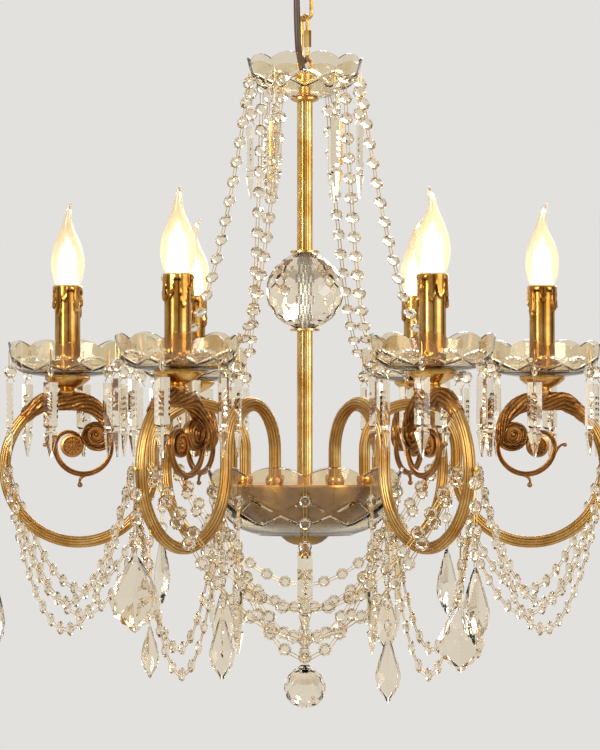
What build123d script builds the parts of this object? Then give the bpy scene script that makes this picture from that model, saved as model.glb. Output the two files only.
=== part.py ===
from build123d import *
import os
from math import atan2, cos, degrees, hypot, radians, sin, sqrt

# Crystal chandelier with six arms, hung by a chain from a ceiling canopy. Millimetres, +Z up.
# The origin is in the ceiling plane, on the axis, so every height below is negative.
# Sizes come first, then a section for each group of pieces, and each piece is one STEP file.

# ------------------------------------------------------------------ ceiling fitting
CANOPY_D = 120.0
CANOPY_SKIRT = 5.0  # straight wall next to the ceiling
CANOPY_STEP_H = 16.0  # ceiling to the flat shoulder that the ball nuts clamp
CANOPY_STEP_R = 33.0  # where the shoulder ends and the bell begins
CANOPY_H = 48.0
CANOPY_WALL = 1.2
CROSSBAR_L = 104.0
CROSSBAR_W = 16.0
CROSSBAR_T = 3.0
CEILING_SCREW_SPACING = 60.0
CEILING_SCREW_HOLE = 5.2
STUD_SPACING = 82.0  # the two studs that carry the canopy
STUD_D = 4.0
BALL_NUT_D = 9.0
SHANK_D = 10.0  # threaded shank of the ceiling loop
CEILING_COLLAR_D = 16.0
CEILING_COLLAR_H = 12.0
CEILING_LOOP_W = 19.4
CEILING_LOOP_DROP = 24.0  # collar to the underside of the loop
GRIP_D = 11.0  # bush that the supply cord leaves the canopy through
GRIP_L = 9.0
BLOCK = (22.0, 17.0, 12.0)  # terminal block in the canopy

# ------------------------------------------------------------------ chain
CHAIN_WIRE = 4.0
LINK_W = 17.4
LINK_PITCH = 40.2  # wire centre to wire centre, top to bottom
QUICK_W = 18.0
QUICK_PITCH = 48.9
QUICK_TURN = -67.0  # the quick link hangs edge-on to the link above it, turned a little
SLEEVE_AF = 6.6  # across the flats of the sleeve nut
SLEEVE_L = 17.0
SLEEVE_TRAVEL = 9.0  # how far the sleeve runs up to open the mouth
QUICK_GAP = 6.5  # mouth in the leg, under the sleeve
SEAT_GAP = 0.2  # left between pieces that hang in each other

# ------------------------------------------------------------------ stem
STEM_LOOP_WIRE = 3.5
STEM_LOOP_W = 17.4
STEM_LOOP_RISE = 16.25  # collar to the top of the loop
STEM_COLLAR_D = 14.6
STEM_COLLAR_H = 9.0
STEM_NECK_D = 12.0
STEM_NECK_H = 11.75
CORD_D = 6.8
CORD_MOUTH_D = 10.6  # mouth of the collar that the cord goes down
CORD_CLEAR = 0.4
CORD_SINK = 2.4  # how far the cord goes into the collar
ROD_D = 9.6
ROD_BORE = 6.6
ROD_CLEAR = 0.2
GASKET_D = 26.0
GASKET_T = 1.5
FLANGE_D = 29.0
FLANGE_T = 4.0
STEM_D = 16.0
UPPER_STEM_L = 153.0
WASHER_D = 30.0
WASHER_T = 2.0
BALL_D = 79.0
BALL_H = 78.0  # over the two polished flats
LOWER_STEM_L = 157.0

# ------------------------------------------------------------------ hub
HUB_D = 148.0
HUB_PLATE_T = 2.0
HUB_BOWL_H = 46.0
HUB_WALL = 1.6
HUB_FOOT_D = 70.0
CUP_D = 49.0
CUP_H = 10.0
FINIAL_D = 12.0
FINIAL_H = 11.0
EYE_D = 7.0
EYE_WIRE = 2.0

# ------------------------------------------------------------------ crystal dishes
# Outlines run from the foot to the rim: (radius, height above the underside).
TOP_DISH = [(24.0, 0.0), (43.0, 8.0), (54.0, 20.0), (59.5, 39.5)]
BOBECHE = [(24.0, 0.0), (45.0, 4.0), (56.0, 14.0), (60.5, 36.0)]
BOWL_ROOM = 1.0  # hub's rim to the bowl's widening outline, which follows the hub
GLASS_BOWL = [
    (48.0, 0.0),
    (HUB_D / 2 + BOWL_ROOM, 12.0),
    (HUB_D / 2 + BOWL_ROOM + 15.0, 38.0),
    (HUB_D / 2 + BOWL_ROOM + 26.0, 69.0),
]
GLASS_WALL = 3.5
BOWL_WALL = 4.0
SCALLOPS = 10
SCALLOP_DEPTH = 6.5
BOWL_SCALLOP_DEPTH = 9.0

# ------------------------------------------------------------------ arms
ARMS = 6
ARM_TUBE_D = 12.0  # over the corners of the reeded tube
ARM_FLUTES = 8
ARM_INSET = 13.0  # rim of the hub in to the centre of the arm's foot
ARM_ROOT_DEPTH = 10.0  # how far it goes into the hub
ARCH_R = 47.0
ARCH_H = 35.0  # hub plate to the arch's centre
LOOP_R = 76.0
LOOP_DROP = 18.0  # arch's centre down to the loop's centre
LOOP_END = 64.0  # angle on the loop where the tube meets the casting
COLLAR_D = 18.0
COLLAR_H = 8.0
TUBE_CLEAR = 0.2
STUD_REACH = 12.5  # loop's centre line to the end of the hook stud
HOOK_STUD_D = 3.0
HOOK_OUT = 10.0  # loop's centre line to the pendant's line

# ------------------------------------------------------------------ casting with its scrolls
SEAT_LIFT = 0.5  # loop's centre line up to the seat of the drip cup
LEAF_W = 16.0
LEAF_T = 17.5  # depth of the leaf under its seat
LEAF_FLAT = 12.0  # level run of its back, in from the candle's axis
LEAF_TIP_W = 9.0  # where it rolls in to the volute
VOLUTE_IN = 29.8  # candle's axis in to the volute's centre
VOLUTE_DROP = 42.5  # seat down to it
VOLUTE_R = 11.3
VOLUTE_TURNS = 1.75
VOLUTE_RIDGE = 2.2
VOLUTE_RELIEF = 1.2  # how far the spiral stands out of its disc on both faces
RING_IN = 16.5  # candle's axis in to the ring's centre
RING_DROP = 54.0  # seat down to it
RING_R = 29.0
SCROLL_T = 5.0
SCROLL_W = 7.0
INNER_RING_R = 14.2  # where the ring turns in round the rosette
ROSETTE_D = 24.0
ROSETTE_IN = 4.9  # candle's axis in to the rosette's centre
SPRIG_T = 3.4
SPRIG_END = (23.0, -52.0)  # from the candle's seat: out, up
TAIL_END = (-13.0, -94.0)
TAIL_BALL_D = 5.4
BOSS_D = 16.0
BOSS_H = 10.0
CANDLE_OUT = 12.0  # loop's centre out to the candle's axis

# ------------------------------------------------------------------ candles
CUP_NECK_D = 18.0
CUP_NECK_H = 4.9
DRIP_CUP_D = 47.0
DRIP_CUP_H = 16.2
NIPPLE_D = 9.6
NIPPLE_SINK = 6.0  # how far the nipple screws into the casting
SLEEVE_D = 26.0
SLEEVE_WALL = 1.2
CANDLE_H = 90.0
SOCKET_D = 22.4
SOCKET_H = 44.0
SOCKET_BELOW_TOP = 2.5
CAP_D = 13.6
CAP_H = 25.0
CAP_CLEAR = 0.3
BULB_D = 35.0
BULB_H = 84.5  # above the candle sleeve
BULB_FOOT_D = 19.2
TIP_BEND = 3.5

# ------------------------------------------------------------------ crystal dressing
BEAD_D = 14.0
BEAD_T = 6.0
BEAD_SIDES = 6
BEAD_PITCH = 22.4
PIN_R = 0.7
PIN_GAP = 0.2
SPEAR_W = 15.0
SPEAR_T = 8.5
SPEAR_BAR = 47.0
SPEAR_POINT = 28.0
TENT_SAG = 55.0
SWAG_SAG = 157.0
BOWL_SWAG_SAG = 155.0
UNDER_SAG = 178.0
DISH_HOLE_H = 24.0  # holes of each dish, above its underside
BOBECHE_HOLE_H = 27.0
BOWL_HOLE_H = 56.0
DISH_SPREAD = 5.0  # each hook of the top dish has its strand this far to one side, its drop to the other
# Strands of the tent: angle of the dish's hook, arm that it goes to, angle on that arm's bobeche.
TENTS = ((0, 5, 90), (62, 1, 170), (137, 2, 350), (180, 4, 90), (243, 4, 350), (310, 5, 170))
BOBECHE_SPEAR_TURN = 18.0  # first spear, from the direction of the arm
DISH_FIRST_PIN = 20.0  # hole to the centre of the first bead
BOBECHE_FIRST_PIN = 22.0
BOWL_FIRST_PIN = 20.0
BOWL_SWAG_HOLES = (218.5, 321.5)  # angles round the stem, the front of the bowl is at 270
BOWL_SWAG_REACH = 8.0
HOOK_REACH = 2.5  # pins that stand a swag off the arm, and a tent off its bobeche
BOWL_SWAG_TURN = 20.0  # below the outermost point of the arm's loop
UNDER_HOLES = (202.0, 338.0)
UNDER_REACH = 6.0
BOWL_SPEARS = ((90, 3), (270, 3), (195, 3), (345, 3), (226.5, 4), (313.5, 4))  # angle, beads
BOWL_PENDANTS = ((30, 5), (150, 5), (211, 6), (329, 7))
LEAF_PENDANT = (49.0, 73.0)  # width, height
WIDE_PENDANT = (50.0, 67.0)
SLIM_PENDANT = (19.0, 50.0)
SMALL_PENDANT = (26.0, 66.0)
PENDANT_T = 9.0
INNER_PENDANT_TURN = 43.0  # second pendant of the two front arms: below the loop's outermost point
# Arm, under the loop or not, hole to first bead, beads, size, angle that the leaf faces.
PENDANTS = [
    (0, False, 11.2, 5, LEAF_PENDANT, 330),
    (1, False, 11.2, 4, LEAF_PENDANT, 330),
    (2, False, 22.0, 3, LEAF_PENDANT, 203),
    (3, False, 11.2, 5, LEAF_PENDANT, 210),
    (4, False, 22.0, 3, LEAF_PENDANT, 270),
    (5, False, 11.2, 4, LEAF_PENDANT, 325),
    (4, True, 11.2, 4, SLIM_PENDANT, 270),
    (5, True, 11.2, 3, WIDE_PENDANT, 270),
]
DROP_BALL_D = 42.0

# ------------------------------------------------------------------ heights, all from the ceiling down
CEILING_COLLAR_Z = -CANOPY_H
CEILING_LOOP_TOP = CEILING_COLLAR_Z - CEILING_COLLAR_H
CEILING_WIRE_Z = CEILING_LOOP_TOP - CEILING_LOOP_DROP + CHAIN_WIRE / 2
LINK_TOP_Z = CEILING_WIRE_Z + CHAIN_WIRE + SEAT_GAP
LINK_LOW_Z = LINK_TOP_Z - LINK_PITCH
QUICK_TOP_Z = LINK_LOW_Z + CHAIN_WIRE + SEAT_GAP
QUICK_LOW_Z = QUICK_TOP_Z - QUICK_PITCH
STEM_WIRE_Z = QUICK_LOW_Z + (CHAIN_WIRE + STEM_LOOP_WIRE) / 2 + SEAT_GAP
STEM_COLLAR_Z = STEM_WIRE_Z + STEM_LOOP_WIRE / 2 - STEM_LOOP_RISE
STEM_NECK_Z = STEM_COLLAR_Z - STEM_COLLAR_H
DISH_FLOOR_Z = STEM_NECK_Z - STEM_NECK_H
DISH_Z = DISH_FLOOR_Z - GLASS_WALL
GASKET_Z = DISH_Z - GASKET_T
FLANGE_Z = GASKET_Z - FLANGE_T
UPPER_STEM_Z = FLANGE_Z - UPPER_STEM_L
BALL_TOP_Z = UPPER_STEM_Z - WASHER_T
BALL_LOW_Z = BALL_TOP_Z - BALL_H
LOWER_STEM_Z = BALL_LOW_Z - WASHER_T
HUB_Z = LOWER_STEM_Z - LOWER_STEM_L
HUB_RIM_Z = HUB_Z - HUB_PLATE_T
BOWL_FLOOR_Z = HUB_RIM_Z - HUB_BOWL_H
BOWL_Z = BOWL_FLOOR_Z - BOWL_WALL
CUP_Z = BOWL_Z - CUP_H
FINIAL_Z = CUP_Z - FINIAL_H
ARCH_Z = HUB_Z + ARCH_H
LOOP_Z = ARCH_Z - LOOP_DROP
ARM_ROOT_R = HUB_D / 2 - ARM_INSET
LOOP_X = ARM_ROOT_R + 2 * ARCH_R + LOOP_R
CANDLE_R = LOOP_X + CANDLE_OUT
SEAT_Z = LOOP_Z + LOOP_R + SEAT_LIFT
BOBECHE_Z = SEAT_Z + DRIP_CUP_H
CANDLE_Z = BOBECHE_Z + GLASS_WALL
CANDLE_TOP_Z = CANDLE_Z + CANDLE_H


# ------------------------------------------------------------------ ways of making
def write(name, *solids):
    """One STEP file, named after its node, that holds the given solids."""
    parts = [solid for shape in solids for solid in shape.solids()]
    export_step(Compound(children=parts, label=name), f"parts/{name}.step")


def turned(*outline):
    """Solid of revolution about Z from a closed outline of (radius, height) curves."""
    return revolve(Plane.XZ * make_face(Curve() + list(outline)), Axis.Z)


def lathe(*points):
    """Solid of revolution about Z from the corners of a closed outline."""
    return turned(Polyline(*points, close=True))


def disc(diameter, low, high, bore=0.0):
    """Level disc, tube or washer on the Z axis."""
    face = Circle(diameter / 2)
    if bore:
        face -= Circle(bore / 2)
    return Pos(0, 0, low) * extrude(face, high - low)


def around(angle, *shapes):
    """The shapes turned about the stem."""
    return [Rot(0, 0, angle) * shape for shape in shapes]


def at(angle, radius, height, centre=(0.0, 0.0)):
    """Point at a polar place round a vertical axis."""
    x = centre[0] + radius * cos(radians(angle))
    y = centre[1] + radius * sin(radians(angle))
    return Vector(x, y, height)


def flat_faced(rings):
    """Cut stone from level outlines with the same number of corners; a lone point is a tip."""
    faces = []
    for lower, upper in zip(rings, rings[1:]):
        corners = max(len(lower), len(upper))
        for i in range(corners):
            j = i + 1
            quad = [lower[i % len(lower)], lower[j % len(lower)]]
            quad += [upper[j % len(upper)], upper[i % len(upper)]]
            loop = [p for k, p in enumerate(quad) if p != quad[k - 1]]
            faces.append(Face(Wire.make_polygon(loop)))
    for end in (rings[0], rings[-1]):
        if len(end) > 1:
            faces.append(Face(Wire.make_polygon(end)))
    return Solid(Shell(faces))


def ring_of(sides, radius, height, turn=0.0, depth=1.0):
    """Corners of a level polygon; depth squeezes it along Y."""
    angles = [radians(turn + 360 * i / sides) for i in range(sides)]
    return [(radius * cos(a), depth * radius * sin(a), height) for a in angles]


def half_ring(radius, wire):
    """Upper half of a wire ring in the XZ plane, round the origin."""
    section = Plane.XY * Pos(radius, 0) * Circle(wire / 2)
    return revolve(section, Axis.Y, -180)


def bow(width, rise, wire):
    """Wire bow in the XZ plane: two legs from Z = 0 and a half ring; rise is its outer height."""
    radius = (width - wire) / 2
    leg = rise - width / 2
    shape = Pos(0, 0, leg) * half_ring(radius, wire)
    for side in (-radius, radius):
        shape += Pos(side, 0, 0) * extrude(Circle(wire / 2), leg)
    return shape


def link(width, pitch, wire):
    """Long wire link in the XZ plane, hung from the centre of its top wire at the origin."""
    radius = (width - wire) / 2
    low = radius - pitch
    shape = Pos(0, 0, -radius) * half_ring(radius, wire)
    shape += Pos(0, 0, low) * Rot(180, 0, 0) * half_ring(radius, wire)
    for side in (-radius, radius):
        shape += Pos(side, 0, low) * extrude(Circle(wire / 2), -radius - low)
    return shape


# ------------------------------------------------------------------ crystal dishes
def radius_at(outline, height):
    """Outer radius of a dish at a height above its underside."""
    for (r0, h0), (r1, h1) in zip(outline, outline[1:]):
        if h0 <= height <= h1:
            return r0 + (r1 - r0) * (height - h0) / (h1 - h0)
    return outline[-1][0]


def crystal_dish(outline, wall, bore, depth):
    """Flared dish with a scalloped rim, its underside at Z = 0."""
    rim_r, rim_h = outline[-1]
    inside = [(r - wall, h + wall * 0.6) for r, h in outline[1:-1]]
    glass = lathe(
        (bore / 2, 0),
        *outline,
        (rim_r - wall, rim_h),
        *reversed(inside),
        (outline[0][0] - wall, wall),
        (bore / 2, wall),
    )
    half_chord = rim_r * sin(radians(180 / SCALLOPS))
    arch_r = (half_chord**2 + depth**2) / (2 * depth)
    reach = rim_r / 2
    band = disc(2 * rim_r + 4, rim_h - 2 * depth, rim_h + 1, bore=rim_r)
    arch = Pos(rim_r, 0, rim_h - arch_r) * Rot(0, 90, 0) * Cylinder(arch_r, reach + 8)
    for i in range(SCALLOPS):
        band -= Rot(0, 0, 360 * i / SCALLOPS) * arch
    return glass - band


# ------------------------------------------------------------------ beads and strands
def make_bead():
    """Flat bead, its length along X and its two tips along Z."""
    outline = ring_of(BEAD_SIDES, BEAD_D / 2, 0.0)
    return flat_faced([[(0, 0, -BEAD_T / 2)], outline, [(0, 0, BEAD_T / 2)]])


BEAD = make_bead()
beads, pins, spears = [], [], []


def pin(start, end):
    """Pin from one piece to the next, just clear of both."""
    way = (end - start).normalized()
    length = (end - start).length - 2 * PIN_GAP
    plane = Plane(origin=start + way * PIN_GAP, z_dir=way)
    return plane * extrude(RegularPolygon(PIN_R, 3), length)


def string(points, facing):
    """Beads centred on the points, with pins between them; facing is the beads' flat side."""
    made, joined, tips = [], [], []
    for i, centre in enumerate(points):
        before = points[max(i - 1, 0)]
        after = points[min(i + 1, len(points) - 1)]
        way = (after - before).normalized() if len(points) > 1 else Vector(0, 0, -1)
        made.append(Plane(origin=centre, x_dir=way, z_dir=facing) * BEAD)
        tips.append((centre - way * BEAD_D / 2, centre + way * BEAD_D / 2))
    for (_, tail), (head, _) in zip(tips, tips[1:]):
        joined.append(pin(tail, head))
    return made, joined, tips


def swag(start, end, sag):
    """Strand that hangs between two points, evenly beaded along its curve."""
    steps = 240

    def on_curve(u):
        return start + (end - start) * u - Vector(0, 0, 4 * sag * u * (1 - u))

    reached = [0.0]
    for k in range(steps):
        reached.append(reached[-1] + (on_curve((k + 1) / steps) - on_curve(k / steps)).length)
    count = max(1, round(reached[-1] / BEAD_PITCH))
    points = []
    for i in range(count):
        target = (i + 0.5) * reached[-1] / count
        k = next(k for k in range(steps) if reached[k + 1] >= target)
        share = (target - reached[k]) / (reached[k + 1] - reached[k])
        points.append(on_curve((k + share) / steps))
    across = end - start
    facing = Vector(across.Y, -across.X, 0).normalized()
    made, joined, tips = string(points, facing)
    joined += [pin(start, tips[0][0]), pin(tips[-1][1], end)]
    return made, joined


def drop(start, count, facing_angle, first=BEAD_PITCH / 2):
    """Beads hung straight down from a point; gives beads, pins and the point below them."""
    points = [start - Vector(0, 0, first + i * BEAD_PITCH) for i in range(count)]
    made, joined, tips = string(points, at(facing_angle, 1, 0))
    joined.append(pin(start, tips[0][0]))
    low = start - Vector(0, 0, first + count * BEAD_PITCH - BEAD_PITCH / 2)
    joined.append(pin(tips[-1][1], low))
    return made, joined, low


def make_spear():
    """Notched spear prism of triangular section, hung from the origin, its back towards -Y."""
    neck = SPEAR_W * 0.30
    rows = [
        (-PIN_GAP, SPEAR_W * 0.30),
        (-5.0, SPEAR_W * 0.50),
        (3.0 - SPEAR_BAR, SPEAR_W * 0.50),
        (-SPEAR_BAR, neck),
        (-SPEAR_BAR - 4.0, SPEAR_W * 0.58),
        (-SPEAR_BAR - SPEAR_POINT, 1.5),
    ]
    squeeze = SPEAR_T / SPEAR_W
    return flat_faced([ring_of(3, r / cos(radians(30)), h, 90, squeeze) for h, r in rows])


def make_pendant(width, height):
    """Flat leaf-shaped pendant, hung from the origin, its two faces along Y."""
    share = [(0.0, 0.06), (0.30, 0.17), (0.24, 0.30), (0.50, 0.47), (0.37, 0.62), (0.40, 0.72)]
    share += [(0.13, 0.86)]
    right = [(x * width, 0, -z * height) for x, z in share]
    left = [(-x, y, z) for x, y, z in reversed(right[1:])]
    outline = right + [(0, 0, -height)] + left
    front = (0, PENDANT_T / 2, -0.48 * height)
    back = (0, -PENDANT_T / 2, -0.48 * height)
    outline[0] = (0, 0, -PIN_GAP)
    return flat_faced([[front], outline, [back]])


SPEAR = make_spear()


def hang(stone, point, facing_angle):
    """The stone hung at a point, its flat side turned to an angle."""
    return Pos(point.X, point.Y, point.Z) * Rot(0, 0, facing_angle - 90) * stone


# ------------------------------------------------------------------ ceiling canopy and its fittings
def canopy_shell():
    """Pressed canopy: straight skirt, flat shoulder and a bell down to the loop."""

    def form(inset):
        rim, step = CANOPY_D / 2 - inset, -CANOPY_STEP_H + inset
        round_r = CANOPY_STEP_H - CANOPY_SKIRT - inset
        neck_r, low = CEILING_COLLAR_D / 2 + 1 - inset / 2, -CANOPY_H + inset
        shoulder = (rim - round_r, step)
        bell = (CANOPY_STEP_R - inset, step)
        lean = ((bell[0] + neck_r) / 2 - 3, (step + low) / 2 + 1)
        return turned(
            Line((0, 0), (rim, 0)),
            Line((rim, 0), (rim, -CANOPY_SKIRT)),
            ThreePointArc(
                (rim, -CANOPY_SKIRT),
                (rim - round_r * (1 - sqrt(0.5)), -CANOPY_SKIRT - round_r * sqrt(0.5)),
                shoulder,
            ),
            Line(shoulder, bell),
            ThreePointArc(bell, lean, (neck_r, low)),
            Line((neck_r, low), (0, low)),
            Line((0, low), (0, 0)),
        )

    shell = form(0.0) - form(CANOPY_WALL)
    shell -= disc(SHANK_D + 2 * ROD_CLEAR, -CANOPY_H - 1, 0)
    for side in (-1, 1):
        shell -= Pos(side * STUD_SPACING / 2, 0, 0) * disc(STUD_D + 0.6, -CANOPY_H, 0)
    hole = disc(GRIP_D - 2.4, -CANOPY_H - 1, 0)
    return shell - Pos(CORD_ROUTE[0][0], CORD_ROUTE[0][1], 0) * hole


# ------------------------------------------------------------------ supply cord
# Its route hangs beside the chain, from the terminal block to the collar of the stem.
CORD_X, CORD_Y = -7.6, -14.0
CORD_ROUTE = [
    (CORD_X, CORD_Y, -CROSSBAR_T - BLOCK[2]),
    (CORD_X, CORD_Y, -60.0),
    (CORD_X - 0.8, CORD_Y - 0.5, -102.0),
    (CORD_X + 0.3, CORD_Y + 0.2, STEM_WIRE_Z + 18.0),
    (-5.7, -10.4, STEM_WIRE_Z - 1.0),
    (-0.4, -0.7, STEM_COLLAR_Z - CORD_SINK),
]


def cord_radii(points):
    """Bend radius at each inner point: 0.45 of the shorter run over the tangent of half the turn."""
    radii = []
    for a, b, c in zip(points, points[1:], points[2:]):
        first, second = Vector(*b) - Vector(*a), Vector(*c) - Vector(*b)
        half = radians(first.get_angle(second)) / 2
        shorter = min(first.length, second.length)
        radii.append(0.45 * shorter * cos(half) / sin(half))
    return radii


def supply_cord():
    """Round cord swept along its runs and the arcs that join them."""
    radii = cord_radii(CORD_ROUTE)
    print("cord bend radii", [round(r) for r in radii])
    path = FilletPolyline(*CORD_ROUTE, radius=radii)
    section = Plane(origin=path @ 0, z_dir=path % 0) * Circle(CORD_D / 2)
    cord = sweep(section, path=path)
    area = Circle(CORD_D / 2).area
    print("cord length", round(path.length, 1), "volume share", cord.volume / area / path.length)
    return cord


def ceiling_pieces():
    write("ceiling_canopy", canopy_shell())

    bar = Pos(0, 0, -CROSSBAR_T) * extrude(SlotOverall(CROSSBAR_L, CROSSBAR_W), CROSSBAR_T)
    bar -= disc(SHANK_D + 2 * ROD_CLEAR, -CROSSBAR_T - 1, 1)
    for side in (-1, 1):
        hole = disc(CEILING_SCREW_HOLE, -CROSSBAR_T - 1, 1)
        bar -= Pos(side * CEILING_SCREW_SPACING / 2, 0, 0) * hole
        bar -= Pos(side * STUD_SPACING / 2, 0, 0) * disc(STUD_D + 0.2, -CROSSBAR_T - 1, 1)
    write("ceiling_crossbar", bar)

    nut_z = -CANOPY_STEP_H - SEAT_GAP
    stud = disc(STUD_D, nut_z - BALL_NUT_D * 0.7, -0.5)
    nut = Pos(0, 0, nut_z - BALL_NUT_D / 2 + 0.6) * Sphere(BALL_NUT_D / 2)
    nut &= disc(BALL_NUT_D + 2, nut_z - BALL_NUT_D, nut_z)
    screw = nut + stud
    write("canopy_screws", *[Pos(s * STUD_SPACING / 2, 0, 0) * screw for s in (-1, 1)])

    loop = disc(CEILING_COLLAR_D, CEILING_LOOP_TOP, CEILING_COLLAR_Z)
    loop += disc(SHANK_D, CEILING_COLLAR_Z, -0.5)
    turned_bow = Rot(0, 0, 90) * Rot(180, 0, 0) * bow(CEILING_LOOP_W, CEILING_LOOP_DROP, CHAIN_WIRE)
    loop += Pos(0, 0, CEILING_LOOP_TOP) * turned_bow
    write("canopy_loop", loop)

    grip = disc(GRIP_D, -CANOPY_H - GRIP_L, -CANOPY_H - SEAT_GAP, CORD_D + 0.6)
    write("cord_grip", Pos(CORD_X, CORD_Y, 0) * grip)

    length, width, height = BLOCK
    block = Pos(CORD_X, CORD_Y, CORD_ROUTE[0][2] + height / 2) * Box(length, width, height)
    write("terminal_block", block)
    write("supply_cord", supply_cord())


# ------------------------------------------------------------------ chain
def chain_pieces():
    write("chain_link", Pos(0, 0, LINK_TOP_Z) * link(LINK_W, LINK_PITCH, CHAIN_WIRE))

    leg_x = (QUICK_W - CHAIN_WIRE) / 2
    sleeve_top = (QUICK_TOP_Z + QUICK_LOW_Z) / 2 + SLEEVE_L / 2 - 0.6
    gap_z = sleeve_top - SLEEVE_L + SLEEVE_TRAVEL - 0.4 - QUICK_GAP / 2
    mouth = Pos(leg_x, 0, gap_z) * Box(CHAIN_WIRE + 2, CHAIN_WIRE + 2, QUICK_GAP)
    ring = Pos(0, 0, QUICK_TOP_Z) * link(QUICK_W, QUICK_PITCH, CHAIN_WIRE) - mouth
    write("quick_link", Rot(0, 0, QUICK_TURN) * ring)

    nut = RegularPolygon(SLEEVE_AF / 2, 6, major_radius=False) - Circle(CHAIN_WIRE / 2 + 0.15)
    sleeve = Pos(leg_x, 0, sleeve_top - SLEEVE_L) * extrude(nut, SLEEVE_L)
    write("quick_link_sleeve", Rot(0, 0, QUICK_TURN) * sleeve)


# ------------------------------------------------------------------ stem
def faceted_ball(radius, height, sides, rows):
    """Ball cut into flat facets, with a level flat at the top and the bottom."""
    edge = degrees(atan2(height / 2, sqrt(radius**2 - (height / 2) ** 2)))
    rings = []
    for i in range(rows + 1):
        lift = radians(-edge + 2 * edge * i / rows)
        rings.append(ring_of(sides, radius * cos(lift), radius * sin(lift)))
    return flat_faced(rings)


def stem_pieces():
    loop = disc(STEM_COLLAR_D, STEM_NECK_Z, STEM_COLLAR_Z)
    loop += disc(STEM_NECK_D, DISH_FLOOR_Z, STEM_NECK_Z)
    loop += Pos(0, 0, STEM_COLLAR_Z) * bow(STEM_LOOP_W, STEM_LOOP_RISE, STEM_LOOP_WIRE)
    rod_top = STEM_COLLAR_Z - STEM_COLLAR_H / 2
    loop -= disc(ROD_D + 2 * ROD_CLEAR, DISH_FLOOR_Z - 1, rod_top)
    loop -= disc(CORD_MOUTH_D, rod_top, STEM_COLLAR_Z)
    above, foot = Vector(*CORD_ROUTE[-2]), Vector(*CORD_ROUTE[-1])
    lean = Plane(origin=foot, z_dir=above - foot)
    loop -= lean * disc(CORD_D + 2 * CORD_CLEAR, 0, (above - foot).length / 2)
    write("stem_loop", loop)

    rod_hole = ROD_D + 2 * ROD_CLEAR
    dish = crystal_dish(TOP_DISH, GLASS_WALL, rod_hole, SCALLOP_DEPTH)
    write("top_dish", Pos(0, 0, DISH_Z) * dish)
    write("dish_gasket", disc(GASKET_D, GASKET_Z, DISH_Z, rod_hole))
    flange = lathe(
        (rod_hole / 2, FLANGE_Z),
        (STEM_D / 2 + 2, FLANGE_Z),
        (FLANGE_D / 2, FLANGE_Z + FLANGE_T * 0.5),
        (FLANGE_D / 2, GASKET_Z),
        (rod_hole / 2, GASKET_Z),
    )
    write("dish_flange", flange)
    write("stem_rod", disc(ROD_D, CUP_Z - FINIAL_H / 2, rod_top, ROD_BORE))
    write("stem_upper", disc(STEM_D, UPPER_STEM_Z, FLANGE_Z, rod_hole))
    washer = disc(WASHER_D, 0, WASHER_T, rod_hole)
    write("ball_washers", Pos(0, 0, BALL_TOP_Z) * washer, Pos(0, 0, LOWER_STEM_Z) * washer)
    ball = faceted_ball(BALL_D / 2, BALL_H, 16, 10)
    ball -= disc(rod_hole, -BALL_H, BALL_H)
    write("crystal_ball", Pos(0, 0, (BALL_TOP_Z + BALL_LOW_Z) / 2) * ball)
    write("stem_lower", disc(STEM_D, HUB_Z, LOWER_STEM_Z, rod_hole))


# ------------------------------------------------------------------ hub
def hub_pieces():
    rod_hole = ROD_D + 2 * ROD_CLEAR
    plate = disc(HUB_D, HUB_RIM_Z, HUB_Z, rod_hole)
    for i in range(ARMS):
        hole = Pos(ARM_ROOT_R, 0, 0) * disc(ARM_TUBE_D + 2 * TUBE_CLEAR, HUB_RIM_Z - 1, HUB_Z + 1)
        plate -= Rot(0, 0, 360 * i / ARMS) * hole
    write("hub_plate", plate)

    def form(inset):
        rim, foot = HUB_D / 2 - inset, HUB_FOOT_D / 2 - inset
        low = BOWL_FLOOR_Z + inset
        return turned(
            Line((0, HUB_RIM_Z), (rim, HUB_RIM_Z)),
            ThreePointArc((rim, HUB_RIM_Z), (rim * 0.9, low + HUB_BOWL_H * 0.42), (foot, low)),
            Line((foot, low), (0, low)),
            Line((0, low), (0, HUB_RIM_Z)),
        )

    bowl = form(0.0) - form(HUB_WALL) - disc(rod_hole, BOWL_FLOOR_Z - 1, BOWL_FLOOR_Z + 5)
    write("hub_bowl", bowl)

    ring = turned(
        Line((ARM_TUBE_D / 2 + TUBE_CLEAR, 0), (COLLAR_D / 2 - 1, 0)),
        ThreePointArc((COLLAR_D / 2 - 1, 0), (COLLAR_D / 2, COLLAR_H / 2), (COLLAR_D / 2 - 1, COLLAR_H)),
        Line((COLLAR_D / 2 - 1, COLLAR_H), (ARM_TUBE_D / 2 + TUBE_CLEAR, COLLAR_H)),
        Line((ARM_TUBE_D / 2 + TUBE_CLEAR, COLLAR_H), (ARM_TUBE_D / 2 + TUBE_CLEAR, 0)),
    )
    collar = Pos(ARM_ROOT_R, 0, HUB_Z) * ring
    write("arm_collars", *[around(360 * i / ARMS, collar)[0] for i in range(ARMS)])

    dish = crystal_dish(GLASS_BOWL, BOWL_WALL, rod_hole, BOWL_SCALLOP_DEPTH)
    write("glass_bowl", Pos(0, 0, BOWL_Z) * dish)
    cup = lathe(
        (rod_hole / 2, CUP_Z),
        (FINIAL_D / 2 + 1, CUP_Z),
        (CUP_D / 2, BOWL_Z - 3),
        (CUP_D / 2, BOWL_Z),
        (rod_hole / 2, BOWL_Z),
    )
    write("bottom_cup", cup)
    finial = disc(FINIAL_D, FINIAL_Z, CUP_Z) - disc(rod_hole, CUP_Z - FINIAL_H / 2, CUP_Z)
    finial += Pos(0, 0, FINIAL_Z) * Rot(180, 0, 0) * bow(EYE_D, EYE_D, EYE_WIRE)
    write("finial", finial)


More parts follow.
